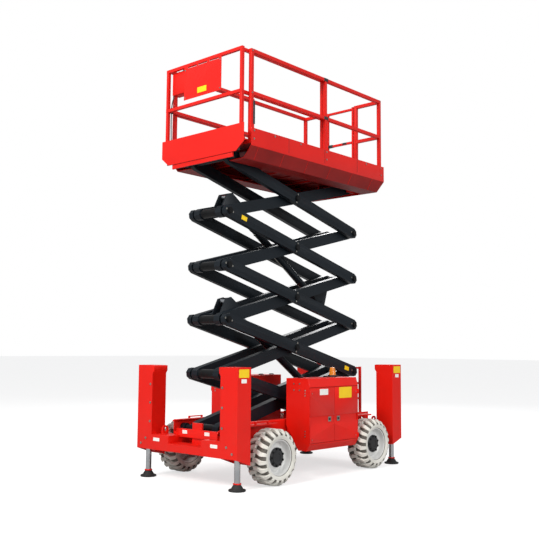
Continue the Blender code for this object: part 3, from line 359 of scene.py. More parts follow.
def bolt_tree():
    """Hexagon bolt heads on round washers, one at each point of the mesh, all facing one way."""
    tree, start, end = geometry_tree("bolt_heads", (
        ("Head Radius", "NodeSocketFloat"), ("Head Height", "NodeSocketFloat"), ("Turn", "NodeSocketVector"),
        ("Finish", "NodeSocketMaterial")))
    head = add(tree, "GeometryNodeMeshCylinder", {"Radius": start.outputs["Head Radius"],
                                                  "Depth": start.outputs["Head Height"]}, Vertices=6)
    wide = add(tree, "ShaderNodeMath", {0: start.outputs["Head Radius"]}, operation="MULTIPLY")
    wide.inputs[1].default_value = 1.35
    thin = add(tree, "ShaderNodeMath", {0: start.outputs["Head Height"]}, operation="MULTIPLY")
    thin.inputs[1].default_value = 0.45
    washer = add(tree, "GeometryNodeMeshCylinder", {"Radius": wide.outputs[0], "Depth": thin.outputs[0]},
                 Vertices=20)
    both = tree.nodes.new("GeometryNodeJoinGeometry")
    tree.links.new(head.outputs["Mesh"], both.inputs[0])
    tree.links.new(washer.outputs["Mesh"], both.inputs[0])
    spots = add(tree, "GeometryNodeInstanceOnPoints", {
        "Points": start.outputs["Geometry"], "Instance": both.outputs[0], "Rotation": start.outputs["Turn"]})
    real = add(tree, "GeometryNodeRealizeInstances", {"Geometry": spots.outputs[0]})
    dressed = add(tree, "GeometryNodeSetMaterial",
                  {"Geometry": real.outputs[0], "Material": start.outputs["Finish"]})
    tree.links.new(dressed.outputs[0], end.inputs[0])
    return tree


def ring_tree():
    """Copies of the incoming shape turned about the Y axis, evenly round a wheel."""
    tree, start, end = geometry_tree("ring_of_copies", (
        ("Count", "NodeSocketInt"), ("Step", "NodeSocketFloat"), ("Finish", "NodeSocketMaterial")))
    points = add(tree, "GeometryNodePoints", {"Count": start.outputs["Count"]})
    index = tree.nodes.new("GeometryNodeInputIndex")
    angle = add(tree, "ShaderNodeMath", {0: index.outputs[0], 1: start.outputs["Step"]}, operation="MULTIPLY")
    turn = add(tree, "ShaderNodeCombineXYZ", {"Y": angle.outputs[0]})
    copies = add(tree, "GeometryNodeInstanceOnPoints", {"Points": points.outputs[0],
                                                        "Instance": start.outputs["Geometry"],
                                                        "Rotation": turn.outputs[0]})
    real = add(tree, "GeometryNodeRealizeInstances", {"Geometry": copies.outputs[0]})
    dressed = add(tree, "GeometryNodeSetMaterial",
                  {"Geometry": real.outputs[0], "Material": start.outputs["Finish"]})
    tree.links.new(dressed.outputs[0], end.inputs[0])
    return tree


BOLT_TREE = bolt_tree()
RING_TREE = ring_tree()


def bolts(name, body, spots, out, radius=0.011, height=0.008, finish=None):
    """Bolt heads at spots, their heads pointing out."""
    finish = finish or ZINC
    mesh = bpy.data.meshes.new(name)
    lifted = [Vector(spot) + Vector(out) * height / 2 for spot in spots]
    mesh.from_pydata(lifted, [], [])
    turn = Vector(out).to_track_quat("Z", "Y").to_euler()
    done = grown(BOLT_TREE, mesh, {"Head Radius": radius, "Head Height": height, "Turn": tuple(turn),
                                   "Finish": finish})
    return keep(name, shaded(done), finish, body)


# ---------------------------------------------------------------- wheels

TYRE_RADIUS = (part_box("tyre_front_left")[1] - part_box("tyre_front_left")[0]).z / 2
TYRE_HALF = (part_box("tyre_front_left")[1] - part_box("tyre_front_left")[0]).y / 2
RIM_RADIUS = (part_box("rim_front_left")[1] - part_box("rim_front_left")[0]).z / 2
LUGS = 20


def lug_mesh(hand):
    """One tread lug: a slanted bar from the crown over the shoulder, bent round the tyre."""
    crown, floor = TYRE_RADIUS, TYRE_RADIUS - 0.034
    rows = [(-0.012, -0.022, 0.020, crown, floor), (0.045, -0.012, 0.036, crown, floor),
            (0.100, 0.012, 0.062, crown - 0.001, floor - 0.004),
            (0.128, 0.014, 0.064, crown - 0.026, floor - 0.022),
            (0.1488, 0.014, 0.062, crown - 0.052, floor - 0.050),
            (0.1492, 0.018, 0.058, crown - 0.074, floor - 0.052)]
    work = bmesh.new()
    rings = []
    for along, low, high, top, base in rows:
        ring = []
        for arc, radius in ((low - 0.004, base), (high + 0.004, base), (high, top), (low, top)):
            turn = arc / TYRE_RADIUS
            depth = along if radius == top else min(along, 0.140)
            ring.append(work.verts.new((radius * math.sin(turn), hand * depth, radius * math.cos(turn))))
        rings.append(ring)
    for a, b in zip(rings, rings[1:]):
        for k in range(4):
            work.faces.new((a[k], a[(k + 1) % 4], b[(k + 1) % 4], b[k]))
    work.faces.new(rings[0])
    work.faces.new(rings[-1])
    bmesh.ops.recalc_face_normals(work, faces=work.faces)
    crown_edges = [e for e in work.edges if all(v.co.length > TYRE_RADIUS - 0.03 for v in e.verts)]
    bmesh.ops.bevel(work, geom=crown_edges, offset=0.0035, segments=1, affect="EDGES")
    return mesh_from(work, "lug")


def wheel(end, end_name, side, side_name):
    """A lugged tyre with its grooves, a dished disc with its bolt circle, and the black hub."""
    corner = end_name + "_" + side_name
    body = "wheel_" + corner
    low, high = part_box("tyre_" + corner)
    centre = (low + high) / 2
    out = Vector((0, side, 0))
    half = TYRE_HALF
    tread = TYRE_RADIUS - 0.031
    carcass = [(RIM_RADIUS + 0.0005, half - 0.022), (RIM_RADIUS + 0.020, half - 0.008),
               (RIM_RADIUS + 0.045, half - 0.002),
               (TYRE_RADIUS - 0.075, half - 0.003), (TYRE_RADIUS - 0.052, half - 0.010),
               (tread - 0.006, half - 0.042), (tread, half - 0.060), (tread + 0.002, 0.0)]
    carcass += [(radius, -along) for radius, along in reversed(carcass[:-1])]
    band = spun(carcass, centre, out, 72)
    # The carcass shows between the lugs in the painted groove shade.
    keep("tyre_carcass_" + corner, band, SHADED_GROOVE_RUBBER, body)
    sidewall = [(RIM_RADIUS + 0.004, half - 0.014), (RIM_RADIUS + 0.020, half - 0.0066),
                (RIM_RADIUS + 0.045, half - 0.0006),
                (TYRE_RADIUS - 0.072, half - 0.0012), (TYRE_RADIUS - 0.072, half - 0.006),
                (RIM_RADIUS + 0.045, half - 0.006),
                (RIM_RADIUS + 0.020, half - 0.012), (RIM_RADIUS + 0.004, half - 0.018)]
    for face in (1, -1):
        skin = spun(sidewall, centre, out * face, 72)
        keep(f"tyre_sidewall_{corner}_{'outer' if face == 1 else 'inner'}", skin, TYRE_RUBBER, body)
    lugs = bmesh.new()
    for hand in (1, -1):
        ring = grown(RING_TREE, lug_mesh(hand),
                     {"Count": LUGS, "Step": 2 * math.pi / LUGS, "Finish": TYRE_RUBBER})
        if hand == -1:
            ring.transform(Matrix.Rotation(math.pi / LUGS, 4, "Y"))
        lugs.from_mesh(ring)
    bmesh.ops.translate(lugs, vec=centre, verts=lugs.verts)
    keep("tyre_lugs_" + corner, mesh_from(lugs, "lugs"), TYRE_RUBBER, body, ("tyre_" + corner,))
    face = half - 0.07
    hub = 0.118
    disc = [(0.052, face - 0.030), (hub, face - 0.030), (hub + 0.018, face - 0.034),
            (RIM_RADIUS - 0.040, face - 0.050),
            (RIM_RADIUS - 0.018, face - 0.046), (RIM_RADIUS - 0.014, -half + 0.024),
            (RIM_RADIUS - 0.001, -half + 0.021),
            (RIM_RADIUS - 0.001, half - 0.023), (RIM_RADIUS - 0.005, half - 0.0225),
            (RIM_RADIUS - 0.013, half - 0.026),
            (RIM_RADIUS - 0.014, face - 0.004), (RIM_RADIUS - 0.026, face - 0.022),
            (RIM_RADIUS - 0.042, face - 0.034),
            (hub + 0.022, face - 0.014), (hub + 0.006, face - 0.010), (0.052, face - 0.010)]
    keep("wheel_disc_" + corner, spun(disc, centre, out, 72), RIM_PAINT, body, ("rim_" + corner,))
    cap = [(0.0, face - 0.011), (hub - 0.004, face - 0.011), (hub - 0.004, face + 0.002),
           (hub - 0.012, face + 0.008),
           (0.082, face + 0.010), (0.078, face + 0.016), (0.052, face + 0.018), (0.048, face + 0.012),
           (0.020, face + 0.012), (0.0, face + 0.012)]
    keep("hub_" + corner, spun(cap, centre, out, 48), BLACK_NYLON, body)
    spots = []
    for k in range(9):
        turn = 2 * math.pi * k / 9
        spots.append(centre + Vector((0.100 * math.cos(turn), side * (face + 0.0075),
                                      0.100 * math.sin(turn))))
    bolts("wheel_nuts_" + corner, body, spots, out, 0.0105, 0.012, BLACK_STEEL)


# ---------------------------------------------------------------- outriggers

def outrigger(end, end_name, side, side_name):
    """The rounded housing with its bolts and labels, the chromed leg with its collar, and the foot."""
    corner = end_name + "_" + side_name
    housing = "outrigger_housing_" + corner
    softened(housing, 0.005)
    low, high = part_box(housing)
    face = high.x if end == 1 else low.x
    outer = high.y if side == 1 else low.y
    inner = outer - side * 0.239
    spots = [(face, inner, 1.152), (face, inner, 0.925), (face, inner, 0.695),
             (face, outer - side * 0.166, 0.487), (face, outer - side * 0.076, 0.420)]
    bolts("housing_bolts_" + corner, "chassis", spots, (end, 0, 0), 0.011, 0.007, ZINC)
    middle = face - end * 0.105
    label("housing_yellow_label_" + corner, "chassis", (middle, outer, 1.316), (-side, 0, 0), (0, 0, 1),
          0.165, 0.095,
          YELLOW_VINYL)
    label("housing_white_label_" + corner, "chassis", (middle, outer, 1.230), (-side, 0, 0), (0, 0, 1),
          0.085, 0.045,
          WHITE_VINYL)
    leg, body = "outrigger_leg_" + corner, "leg_" + corner
    low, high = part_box(leg)
    x, y = (low.x + high.x) / 2, (low.y + high.y) / 2
    radius = 0.0348
    shaft = [(0.0, low.z), (radius - 0.003, low.z), (radius, low.z + 0.003), (radius, high.z - 0.003),
             (radius - 0.003, high.z), (0.0, high.z)]
    keep("leg_shaft_" + corner, spun(shaft, (x, y, 0), (0, 0, 1), 48), CHROME, body, (leg,))
    ring = [(radius + 0.0004, 0.0755), (0.046, 0.0755), (0.0487, 0.0775), (0.0487, 0.086), (0.046, 0.0885),
            (radius + 0.0004, 0.0885)]
    keep("leg_collar_" + corner, spun(ring, (x, y, 0), (0, 0, 1), 48), ENAMEL, body)
    foot = [(0.0, 0.0), (0.094, 0.0), (0.0995, 0.005), (0.0995, 0.016), (0.094, 0.0215), (0.078, 0.0225),
            (0.066, 0.036), (0.058, 0.052), (0.046, 0.066), (0.044, 0.074), (0.036, 0.0745), (0.036, 0.033),
            (0.0, 0.033)]
    keep("leg_foot_" + corner, spun(foot, (x, y, 0), (0, 0, 1), 56), BLACK_RUBBER, body,
         ("outrigger_foot_" + corner,))
    seal = [(0.0366, 0.3495), (0.064, 0.3495), (0.066, 0.353), (0.066, 0.374), (0.0366, 0.3795)]
    keep("leg_seal_" + corner, spun(seal, (x, y, 0), (0, 0, 1), 40), BLACK_STEEL, "chassis")


# ---------------------------------------------------------------- side covers

def cover(side, side_name):
    """Cover and doors with rounded folds, latches, end and hinge bolts, and labels."""
    name = "cover_" + side_name
    softened(name, 0.004)
    low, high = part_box(name)
    outer = high.y if side == 1 else low.y
    for end, end_name in ENDS:
        door = f"cover_door_{end_name}_{side_name}"
        softened(door, 0.0025)
        body = f"door_{end_name}_{side_name}"
        d_low, d_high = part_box(door)
        middle = (low.x + high.x) / 2
        latch_x = middle + end * 0.092
        skin = outer - side * 0.014

        def bezel(work, x=latch_x, y=skin):
            block(work, (x - 0.030, x + 0.030), (y + side * 0.0004, y + side * 0.007), (0.684, 0.746), 0.002)

        piece(f"door_latch_bezel_{end_name}_{side_name}", body, ZINC, bezel)

        def latch(work, x=latch_x, y=skin):
            block(work, (x - 0.014, x + 0.020), (y + side * 0.006, y + side * 0.012), (0.701, 0.729), 0.0012)

        piece(f"door_latch_{end_name}_{side_name}", body, BLACK_NYLON, latch)
        spots = [(d_low.x + dx if end == -1 else d_high.x - dx, outer + side * 0.0001, z)
                 for dx in (0.055,) for z in (0.476, 1.046)]
        bolts(f"door_hinge_bolts_{end_name}_{side_name}", body, spots, (0, side, 0), 0.005, 0.004, ZINC)
    face = high.x
    spots = [(face, side * y, z) for y in (0.618, 0.709) for z in (1.083, 1.163)]
    bolts("cover_end_bolts_" + side_name, "chassis", spots, (1, 0, 0), 0.008, 0.006)
    bolts("cover_rear_bolts_" + side_name, "chassis", [(low.x, y, z) for _, y, z in spots], (-1, 0, 0),
          0.008, 0.006)

    spots = [(face, side * 0.800, z + step) for z in (0.550, 1.050) for step in (-0.032, 0.0, 0.032)]
    bolts("cover_hinge_bolts_" + side_name, "chassis", spots, (1, 0, 0), 0.007, 0.005)
    front, rear = f"door_front_{side_name}", f"door_rear_{side_name}"
    label("door_white_label_" + side_name, front, (0.100, outer, 1.060), (-side, 0, 0), (0, 0, 1), 0.170,
          0.075, WHITE_VINYL)
    label("door_yellow_label_" + side_name, rear, (-0.350, outer, 1.040), (-side, 0, 0), (0, 0, 1), 0.270,
          0.140,
          YELLOW_VINYL)

    def top_caps(work):
        for x in (-0.52, -0.30, 0.22):
            block(work, (x - 0.035, x + 0.035), span(0.56, 0.60, side), (high.z + 0.0004, high.z + 0.012),
                  0.003)
            bar(work, (x - 0.030, side * 0.58, high.z + 0.011), (x + 0.030, side * 0.58, high.z + 0.011),
                0.006, 12)

    piece("cover_top_hinges_" + side_name, "chassis", BLACK_STEEL, top_caps)


def beacon():
    """Amber lens with its ribs on a black base."""
    low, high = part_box("beacon")
    x, y, z = (low.x + high.x) / 2, (low.y + high.y) / 2, low.z
    base = [(0.0, z), (0.055, z), (0.055, z + 0.018), (0.049, z + 0.026), (0.0, z + 0.026)]
    keep("beacon_base", spun(base, (x, y, 0), (0, 0, 1), 48), BLACK_NYLON, "chassis")
    lens = [(0.0, z + 0.0265), (0.047, z + 0.0265)]
    for k in range(8):
        zz = z + 0.034 + 0.010 * k
        radius = 0.0465 - 0.0012 * k
        lens += [(radius, zz), (radius - 0.0018, zz + 0.005)]
    lens += [(0.034, high.z - 0.006), (0.020, high.z - 0.001), (0.0, high.z)]
    keep("beacon_lens", spun(lens, (x, y, 0), (0, 0, 1), 48), AMBER_LENS, "chassis",
         ("beacon",))


# ---------------------------------------------------------------- chassis

def chassis():
    """Rounded frame, beams, axles and ladder with their labels, lugs and bolts."""
    for node in ("chassis_frame", "front_crossbeam", "rear_crossbeam", "entry_ladder"):
        softened(node, 0.004)
    for node in ("front_axle", "rear_axle", "knuckle_left", "knuckle_right"):
        softened(node, 0.004, AXLE_ENAMEL)
    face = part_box("front_crossbeam")[1].x
    for side, side_name in SIDES:
        label("beam_label_" + side_name, "chassis", (face, side * 0.505, 0.482), (0, 1, 0), (0, 0, 1), 0.115,
              0.040, WHITE_VINYL)
        label("stop_bar_label_" + side_name, "chassis", (1.485, side * 0.195, 0.583), (0, 1, 0), (0, 0, 1),
              0.085, 0.042, WHITE_VINYL)
        spots = [(-face, side * y, z) for y in (0.345, 0.560) for z in (0.395, 0.500)]
        bolts("rear_beam_bolts_" + side_name, "chassis", spots, (-1, 0, 0), 0.009, 0.006)

        def fender_lug(work):
            for x in (0.84, 1.06):
                block(work, (x - 0.012, x + 0.012), span(0.575, 0.595, side), (0.6932, 0.730), 0.003)
            bar(work, (0.84, side * 0.585, 0.722), (1.06, side * 0.585, 0.722), 0.008, 16)

        piece("lifting_ring_" + side_name, "chassis", ENAMEL, fender_lug)
        rail_spots = [(-1.36 + 0.17 * k, side * 0.465, z) for k in range(5) for z in (0.44, 0.66)]
        bolts("rail_bolts_" + side_name, "chassis", rail_spots, (0, side, 0), 0.010, 0.007)

    def pipes(work):
        for y in (-0.20, -0.165, 0.175):
            bar(work, (-1.30, y, 0.4435), (1.28, y, 0.4435), 0.009, 14)
            for k in range(5):
                x = -1.20 + 0.60 * k
                block(work, (x - 0.012, x + 0.012), (y - 0.015, y + 0.015), (0.4303, 0.456), 0.003)

    piece("hydraulic_pipes", "chassis", BLACK_STEEL, pipes)

    def tank(work):
        block(work, (1.300, 1.420), (-0.123, 0.123), (0.4305, 0.540), 0.010)
        bar(work, (1.36, 0.06, 0.538), (1.36, 0.06, 0.5425), 0.022, 20)

    piece("manifold_box", "chassis", ENAMEL, tank)
    for side, side_name in SIDES:
        body = "knuckle_" + side_name
        x = JOINTS["steer_" + side_name]["pos_m"][0]
        cap = [(0.0, 0.4255), (0.030, 0.4255), (0.030, 0.431), (0.026, 0.435), (0.0, 0.435)]
        keep("king_pin_cap_" + side_name, spun(cap, (x, side * 0.56, 0), (0, 0, 1), 32), ZINC, body)


# ---------------------------------------------------------------- scissor stack

def pin_caps(name, body, spots, side, start, radius=0.041):
    """Round pin heads on the outside of an arm pair."""
    work = bmesh.new()
    for spot in spots:
        y = side * start
        bar(work, (spot[0], y, spot[2]), (spot[0], y + side * 0.011, spot[2]), radius, 36)
        bar(work, (spot[0], y + side * 0.010, spot[2]), (spot[0], y + side * 0.016, spot[2]), radius * 0.72,
            36)
    keep(name, mesh_from(work, name), BLACK_STEEL, body)


def stack():
    """Arms with rounded edges, pin heads, end collars, labels and smooth lift cylinders."""
    rise = JOINTS["rear_pivot_2"]["pos_m"][2] - JOINTS["lift"]["pos_m"][2]
    rear_x = JOINTS["lift"]["pos_m"][0]
    front_x = 2 * JOINTS["centre_pivot_1"]["pos_m"][0] - rear_x
    base = JOINTS["lift"]["pos_m"][2]
    middle_x = (rear_x + front_x) / 2
    arm_out = 0.333
    slope = math.atan2(rise, front_x - rear_x)
    for stage in range(1, 6):
        outer_body, inner_body = f"outer_arms_{stage}", f"inner_arms_{stage}"
        softened(outer_body, 0.004)
        softened(inner_body, 0.004)
        low_rear = (rear_x, 0, base + (stage - 1) * rise)
        high_front = (front_x, 0, base + stage * rise)
        cross = (middle_x, 0, base + (stage - 0.5) * rise)
        for side, side_name in SIDES:
            spots = [cross]
            if stage > 1:
                spots.append(low_rear)
            if stage < 5:
                spots.append(high_front)
            pin_caps(f"pin_heads_{stage}_{side_name}", outer_body, spots, side, arm_out + 0.0065)
            along = []
            for share in (0.035, -0.035):
                for spot in spots:
                    turn = slope if spot is not cross else slope + math.pi / 2
                    reach = 0.058 if share > 0 else -0.058
                    along.append((spot[0] + reach * math.cos(turn), side * arm_out,
                                  spot[2] + reach * math.sin(turn)))
            bolts(f"keeper_bolts_{stage}_{side_name}", outer_body, along, (0, side, 0), 0.009, 0.007, ZINC)
        height = base + (stage - 1) * rise
        work = bmesh.new()
        bar(work, (front_x, -0.1285, height), (front_x, 0.1285, height), 0.0565, 48)
        keep(f"cross_tube_{stage}", mesh_from(work, "cross_tube"), BLACK_STEEL, inner_body)
    for stage, share in ((4, 0.90), (2, 0.07)):
        x = rear_x + share * (front_x - rear_x)
        z = base + (stage - 1 + share) * rise
        up = (-math.sin(slope), 0, math.cos(slope))
        for side, side_name in SIDES:
            across = (-side * math.cos(slope), 0, -side * math.sin(slope))
            label(f"arm_label_{stage}_{side_name}", f"outer_arms_{stage}", (x, side * arm_out, z), across, up,
                  0.10, 0.055, YELLOW_VINYL)
    for name in ("lower", "upper"):
        hinge = Vector(JOINTS[name + "_barrel_hinge"]["pos_m"])
        run = Vector(JOINTS[name + "_rod_slide"]["axis"]).normalized()
        softened(name + "_cylinder_barrel", 0.002, ARM_COAT)
        gland = [(0.0335, 1.640), (0.0535, 1.640), (0.0545, 1.644), (0.0545, 1.708), (0.050, 1.714),
                 (0.0335, 1.714)]
        keep(name + "_cylinder_gland", spun(gland, hinge, run, 40), BLACK_STEEL, name + "_barrel")
        port = bmesh.new()
        side_way = Vector((0, 1, 0)).cross(run)
        for along in (0.14, 1.58):
            bar(port, hinge + run * along + side_way * 0.045, hinge + run * along + side_way * 0.064, 0.012,
                16)
        bar(port, hinge + run * 0.14 + side_way * 0.058, hinge + run * 1.58 + side_way * 0.058, 0.006, 12)
        keep(name + "_cylinder_pipe", mesh_from(port, "pipe"), ZINC, name + "_barrel")
        softened(name + "_cylinder_rod", 0.0015, CHROME)


# ---------------------------------------------------------------- platform

DECK_KEEL = 0.600  # half width of the deck frame's lower edge


def shade_underside(node):
    """Paints shade on a deck: its faces that look down take the darker copy of the enamel."""
    mesh = bpy.data.objects[node + "_finished"].data
    mesh.materials.append(SHADED_UNDERSIDE_ENAMEL)
    for face in mesh.polygons:
        if face.normal.z < -0.2:
            face.material_index = 1


def platform():
    """Deck, guardrails and gate with rounded tube edges, brackets, bolts and tread plate."""
    for node in ("main_deck", "left_guardrail", "right_guardrail", "rear_guardrail", "gate"):
        softened(node, 0.005, PLATFORM_ENAMEL)
    softened("extension_deck", 0.005, PLATFORM_ENAMEL)
    # Painted shade: the decks' downward faces take the darker copy of the enamel.
    for node in ("main_deck", "extension_deck"):
        shade_underside(node)
    low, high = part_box("main_deck")
    floor_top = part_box("left_guardrail")[0].z - 0.0003
    rail_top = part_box("left_guardrail")[1].z
    for side, side_name in SIDES:
        wall = high.y if side == 1 else low.y
        seams = bmesh.new()
        for x in (0.634, -0.099, -0.832):
            block(seams, (x - 0.0025, x + 0.0025), (wall - side * 0.001, wall + side * 0.0012),
                  (floor_top - 0.036, high.z - 0.004), 0.0005)
        keep("toe_board_seams_" + side_name, mesh_from(seams, "seams"), BLACK_RUBBER, "platform")
        ribs = bmesh.new()
        for k in range(6):
            x = 1.20 - 0.48 * k
            bar(ribs, (x, side * 0.7235, floor_top - 0.0695),
                (x - 0.05, side * (DECK_KEEL + 0.003), low.z + 0.003), 0.0035, 10)
        keep("flank_ribs_" + side_name, mesh_from(ribs, "ribs"), PLATFORM_ENAMEL, "platform")
        spots = [(x, wall, high.z - 0.030) for x in (-1.42, -1.05, -0.14, 0.40, 0.90, 1.28)]
        spots += [(x, wall, floor_top + 0.020) for x in (-1.42, -0.14, 1.28)]
        bolts("toe_board_bolts_" + side_name, "platform", spots, (0, side, 0), 0.009, 0.006)
        guide_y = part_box(side_name + "_guardrail")[0 if side == 1 else 1].y

        def guides(work):
            for z in (rail_top, rail_top - 0.528):
                block(work, (-0.185, -0.098), (guide_y - side * 0.0003, guide_y + side * 0.0485),
                      (z - 0.0435, z + 0.0012), 0.002)
            block(work, (1.262, 1.292), (guide_y + side * 0.0445, guide_y + side * 0.0525), (4.300, 4.590),
                  0.003)
            bar(work, (1.277, guide_y + side * 0.052, 4.38), (1.277, guide_y + side * 0.055, 4.38), 0.012, 20)

        piece("rail_guides_" + side_name, "platform", BLACK_NYLON, guides)
        post_spots = [(x, (guide_y + side * 0.045), z) for x in (-1.42, 1.305)
                      for z in (rail_top - 0.022, rail_top - 0.55)]
        bolts("guardrail_bolts_" + side_name, "platform", post_spots, (0, side, 0), 0.007, 0.005)

    def treads(work):
        for row in range(0, 42):
            for column in range(0, 21):
                x, y = -1.35 + 0.0275 * row, -0.58 + 0.058 * column
                turn = Matrix.Rotation(math.radians(45 if (row + column) % 2 else -45), 4, "Z")
                block(work, (x - 0.011, x + 0.011), (y - 0.0025, y + 0.0025),
                      (floor_top + 0.0042, floor_top + 0.0056), 0.0, turn)

    piece("deck_tread", "platform", ZINC, treads)
    gate_low, gate_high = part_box("gate")

    def gate_parts(work):
        y = (gate_low.y + gate_high.y) / 2
        x = (gate_low.x + gate_high.x) / 2
        block(work, (x - 0.021, x + 0.021), (gate_low.y + 0.036, gate_low.y + 0.120), (4.672, 4.712), 0.004)
        block(work, (x - 0.019, x + 0.019), (y + 0.05, y + 0.13), (4.676, 4.708), 0.004)

    piece("gate_latch", "gate", BLACK_NYLON, gate_parts)
    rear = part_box("rear_guardrail")[0].x
    spots = [(rear, y, z) for y in (-0.66, 0.66, -0.295, 0.285)
             for z in (floor_top + 0.06, rail_top - 0.55, rail_top - 0.022)]
    bolts("rear_rail_bolts", "platform", spots, (-1, 0, 0), 0.007, 0.005)
    # The ribs and the thin sheet under the deck are in the darker copy of the enamel, as painted shade.
    ribs = bmesh.new()
    for k in range(9):
        x = -1.30 + 0.30 * k
        block(ribs, (x - 0.020, x + 0.020), (-0.552, 0.552), (floor_top - 0.0555, floor_top - 0.0385), 0.002)
    keep("deck_ribs", mesh_from(ribs, "ribs"), SHADED_UNDERSIDE_ENAMEL, "platform")
    under = bmesh.new()
    block(under, (-1.482, 1.322), (-0.7145, 0.7145), (floor_top - 0.0388, floor_top - 0.0382))
    keep("deck_underside", mesh_from(under, "underside"), SHADED_UNDERSIDE_ENAMEL, "platform")


# ---------------------------------------------------------------- platform extension

def extension():
    """Sliding deck, its guardrails, the front plate and the operator's controls."""
    softened("extension_guardrail", 0.005, PLATFORM_ENAMEL)
    softened("sign_plate", 0.0012, PLATFORM_ENAMEL)
    low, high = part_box("sign_plate")
    face = high.x
    label("sign_yellow_label", "extension", (face, -0.005, low.z + 0.082), (0, 1, 0), (0, 0, 1), 0.165,
          0.072, YELLOW_VINYL)
    bolts("sign_bolts", "extension",
          [(face, y, z) for y in (-0.315, 0.315) for z in (low.z + 0.03, high.z - 0.05)],
          (1, 0, 0), 0.007, 0.0035)
    deck_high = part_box("extension_deck")[1]
    toe = deck_high.x
    bolts("front_toe_bolts", "extension",
          [(toe - 0.0062, y, deck_high.z - 0.030) for y in (-0.70, -0.30, 0.30, 0.70)],
          (1, 0, 0), 0.009, 0.006)

    def stops(work):
        for side, _ in SIDES:
            block(work, (1.4465, 1.465), span(0.552, 0.650, side), (3.955, 4.030), 0.004)

    piece("front_beam_blocks", "extension", BLACK_RUBBER, stops)
    c_low, c_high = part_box("control_box")

    def housing(work):
        block(work, (c_low.x + 0.002, c_high.x - 0.001), (c_low.y, c_high.y),
              (c_low.z + 0.002, c_high.z - 0.074), 0.010)
        block(work, (c_low.x + 0.001, c_low.x + 0.090), (c_low.y + 0.012, c_high.y - 0.012),
              (c_high.z - 0.076, c_high.z - 0.058), 0.006)

    piece("control_housing", "extension", PLATFORM_ENAMEL, housing, ("control_box",))

    def controls(work):
        x, y, z = c_low.x + 0.055, -0.48, c_high.z - 0.060
        bar(work, (x, y, z), (x, y, z + 0.018), 0.026, 24, 0.017)
        bar(work, (x, y, z + 0.016), (x - 0.006, y, z + 0.052), 0.010, 20, 0.014)
        bar(work, (x - 0.006, y, z + 0.050), (x - 0.006, y, z + 0.0575), 0.015, 20, 0.010)
        for k in range(3):
            block(work, (x - 0.020, x - 0.008), (-0.415 + 0.020 * k, -0.405 + 0.020 * k), (z, z + 0.008),
                  0.001)
        for y2 in (c_low.y + 0.020, c_high.y - 0.020):
            bar(work, (c_low.x + 0.012, y2, z + 0.001), (c_low.x + 0.012, y2, z + 0.040), 0.006, 12)
        bar(work, (c_low.x + 0.012, c_low.y + 0.016, z + 0.038),
            (c_low.x + 0.012, c_high.y - 0.016, z + 0.038), 0.0065, 12)
        block(work, (c_low.x + 0.010, c_high.x - 0.006), (c_high.y + 0.0004, c_high.y + 0.020),
              (c_low.z + 0.06, c_low.z + 0.19), 0.004)

    piece("joystick_and_guard", "extension", BLACK_NYLON, controls)

    def stop_button(work):
        x, y, z = c_low.x + 0.055, -0.560, c_high.z - 0.060
        bar(work, (x, y, z), (x, y, z + 0.010), 0.010, 20)
        bar(work, (x, y, z + 0.009), (x, y, z + 0.022), 0.020, 28, 0.016)

    piece("stop_button", "extension", RED_KNOB, stop_button)
    cable = bpy.data.curves.new("conduit", "CURVE")
    cable.dimensions = "3D"
    cable.bevel_depth = 0.007
    cable.bevel_resolution = 3
    cable.use_fill_caps = True
    path = cable.splines.new("BEZIER")
    route = [(1.400, -0.60, 4.900), (1.412, -0.632, 4.78), (1.416, -0.638, 4.60), (1.416, -0.636, 4.40),
             (1.410, -0.630, 4.135)]
    path.bezier_points.add(len(route) - 1)
    for point, spot in zip(path.bezier_points, route):
        point.co = spot
        point.handle_left_type = point.handle_right_type = "AUTO"
    lead = bpy.data.objects.new("conduit", cable)
    bpy.context.scene.collection.objects.link(lead)
    mesh = bpy.data.meshes.new_from_object(lead.evaluated_get(bpy.context.evaluated_depsgraph_get()))
    bpy.data.objects.remove(lead, do_unlink=True)
    keep("control_conduit", shaded(mesh), BLACK_NYLON, "extension")

    def clips(work):
        block(work, (1.395, 1.4245), (-0.650, -0.622), (4.655, 4.735), 0.004)
        block(work, (1.400, 1.4245), (-0.646, -0.626), (4.250, 4.280), 0.004)

    piece("conduit_clips", "extension", BLACK_NYLON, clips)


# ---------------------------------------------------------------- studio

FLOOR_GLOW = 0.66  # light that the floor adds where it is seen directly, so that it reads as white paper
SKY_STRENGTH = 0.50
LENS_MM = 53.65
CAMERA_SPOT = (8.1898, 7.2153, 1.600)
CAMERA_TURNS = (5.6254, 132.0125, 0.4091)  # pitch, heading and roll in degrees


def area_light(name, spot, target, size, power, colour="#FFFFFF"):
    light = bpy.data.lights.new(name, "AREA")
    light.shape = "DISK"
    light.size = size
    light.energy = power
    light.color = linear(colour)[:3]
    obj = bpy.data.objects.new(name, light)
    bpy.context.scene.collection.objects.link(obj)
    obj.location = spot
    obj.rotation_euler = (Vector(target) - Vector(spot)).to_track_quat("-Z", "Y").to_euler()


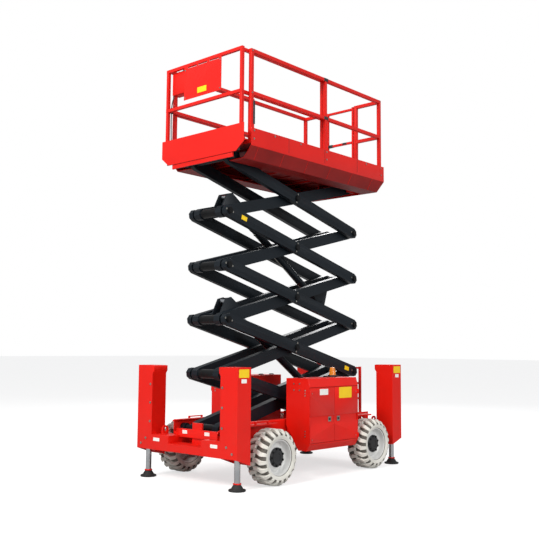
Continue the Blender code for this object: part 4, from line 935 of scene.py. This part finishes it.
def studio():
    """Pale floor, soft lights and the camera."""
    floor = bpy.data.meshes.new("floor")
    work = bmesh.new()
    bmesh.ops.create_grid(work, x_segments=1, y_segments=1, size=120.0)
    bmesh.ops.translate(work, vec=(0, 0, -0.001), verts=work.verts)
    work.to_mesh(floor)
    work.free()
    ground = bpy.data.objects.new("floor", floor)
    bpy.context.scene.collection.objects.link(ground)
    # Seamless matt studio paper.
    paper = plain("studio_paper", ("#B4B4B4", "#ADADAD"), 0.95, 0.0, 50.0, 0.0)
    tree = paper.node_tree
    shader = tree.nodes["Principled BSDF"]
    shader.inputs["Emission Color"].default_value = (1.0, 1.0, 1.0, 1.0)
    seen = add(tree, "ShaderNodeLightPath")
    share = add(tree, "ShaderNodeMath", {0: seen.outputs["Is Camera Ray"]}, operation="MULTIPLY")
    share.inputs[1].default_value = FLOOR_GLOW
    tree.links.new(share.outputs[0], shader.inputs["Emission Strength"])
    floor.materials.append(paper)
    world = bpy.data.worlds.new("studio")
    bpy.context.scene.world = world
    world.use_nodes = True
    backdrop = world.node_tree.nodes["Background"]
    backdrop.inputs["Color"].default_value = (0.97, 0.98, 1.0, 1.0)
    backdrop.inputs["Strength"].default_value = SKY_STRENGTH
    tree = world.node_tree
    backing = add(tree, "ShaderNodeBackground", Color=(1.0, 1.0, 1.0, 1.0), Strength=1.0)
    seen = add(tree, "ShaderNodeLightPath")
    choice = add(tree, "ShaderNodeMixShader", {0: seen.outputs["Is Camera Ray"], 1: backdrop.outputs[0],
                                               2: backing.outputs[0]})
    tree.links.new(choice.outputs[0], tree.nodes["World Output"].inputs["Surface"])
    bpy.context.scene.view_settings.view_transform = "Standard"
    area_light("key", (11.0, 1.5, 9.5), (0, 0, 2.0), 5.0, 1520, "#FFFCF8")
    area_light("side", (2.0, 12.0, 6.0), (0, 0, 2.0), 6.0, 700)
    area_light("back", (-9.0, -6.0, 8.0), (0, 0, 3.0), 5.0, 500)
    camera = bpy.data.cameras.new("camera")
    camera.lens = LENS_MM
    camera.sensor_width = 36.0
    camera.clip_end = 300.0
    eye = bpy.data.objects.new("camera", camera)
    bpy.context.scene.collection.objects.link(eye)
    eye.location = CAMERA_SPOT
    pitch, heading, roll = (math.radians(turn) for turn in CAMERA_TURNS)
    look = Matrix.Rotation(heading, 4, "Z") @ Matrix.Rotation(math.pi / 2 + pitch, 4, "X")
    eye.rotation_euler = (look @ Matrix.Rotation(roll, 4, "Z")).to_euler()
    bpy.context.scene.camera = eye


for end_sign, end_word in ENDS:
    for side_sign, side_word in SIDES:
        wheel(end_sign, end_word, side_sign, side_word)
        outrigger(end_sign, end_word, side_sign, side_word)
for side_sign, side_word in SIDES:
    cover(side_sign, side_word)
beacon()
chassis()
stack()
platform()
extension()
for node_name, node_object in NODES.items():
    if not node_object.hide_render:
        node_object.data.materials.clear()
        node_object.data.materials.append(FINISH_OF_SLOT[SLOT_OF[node_name]])
studio()
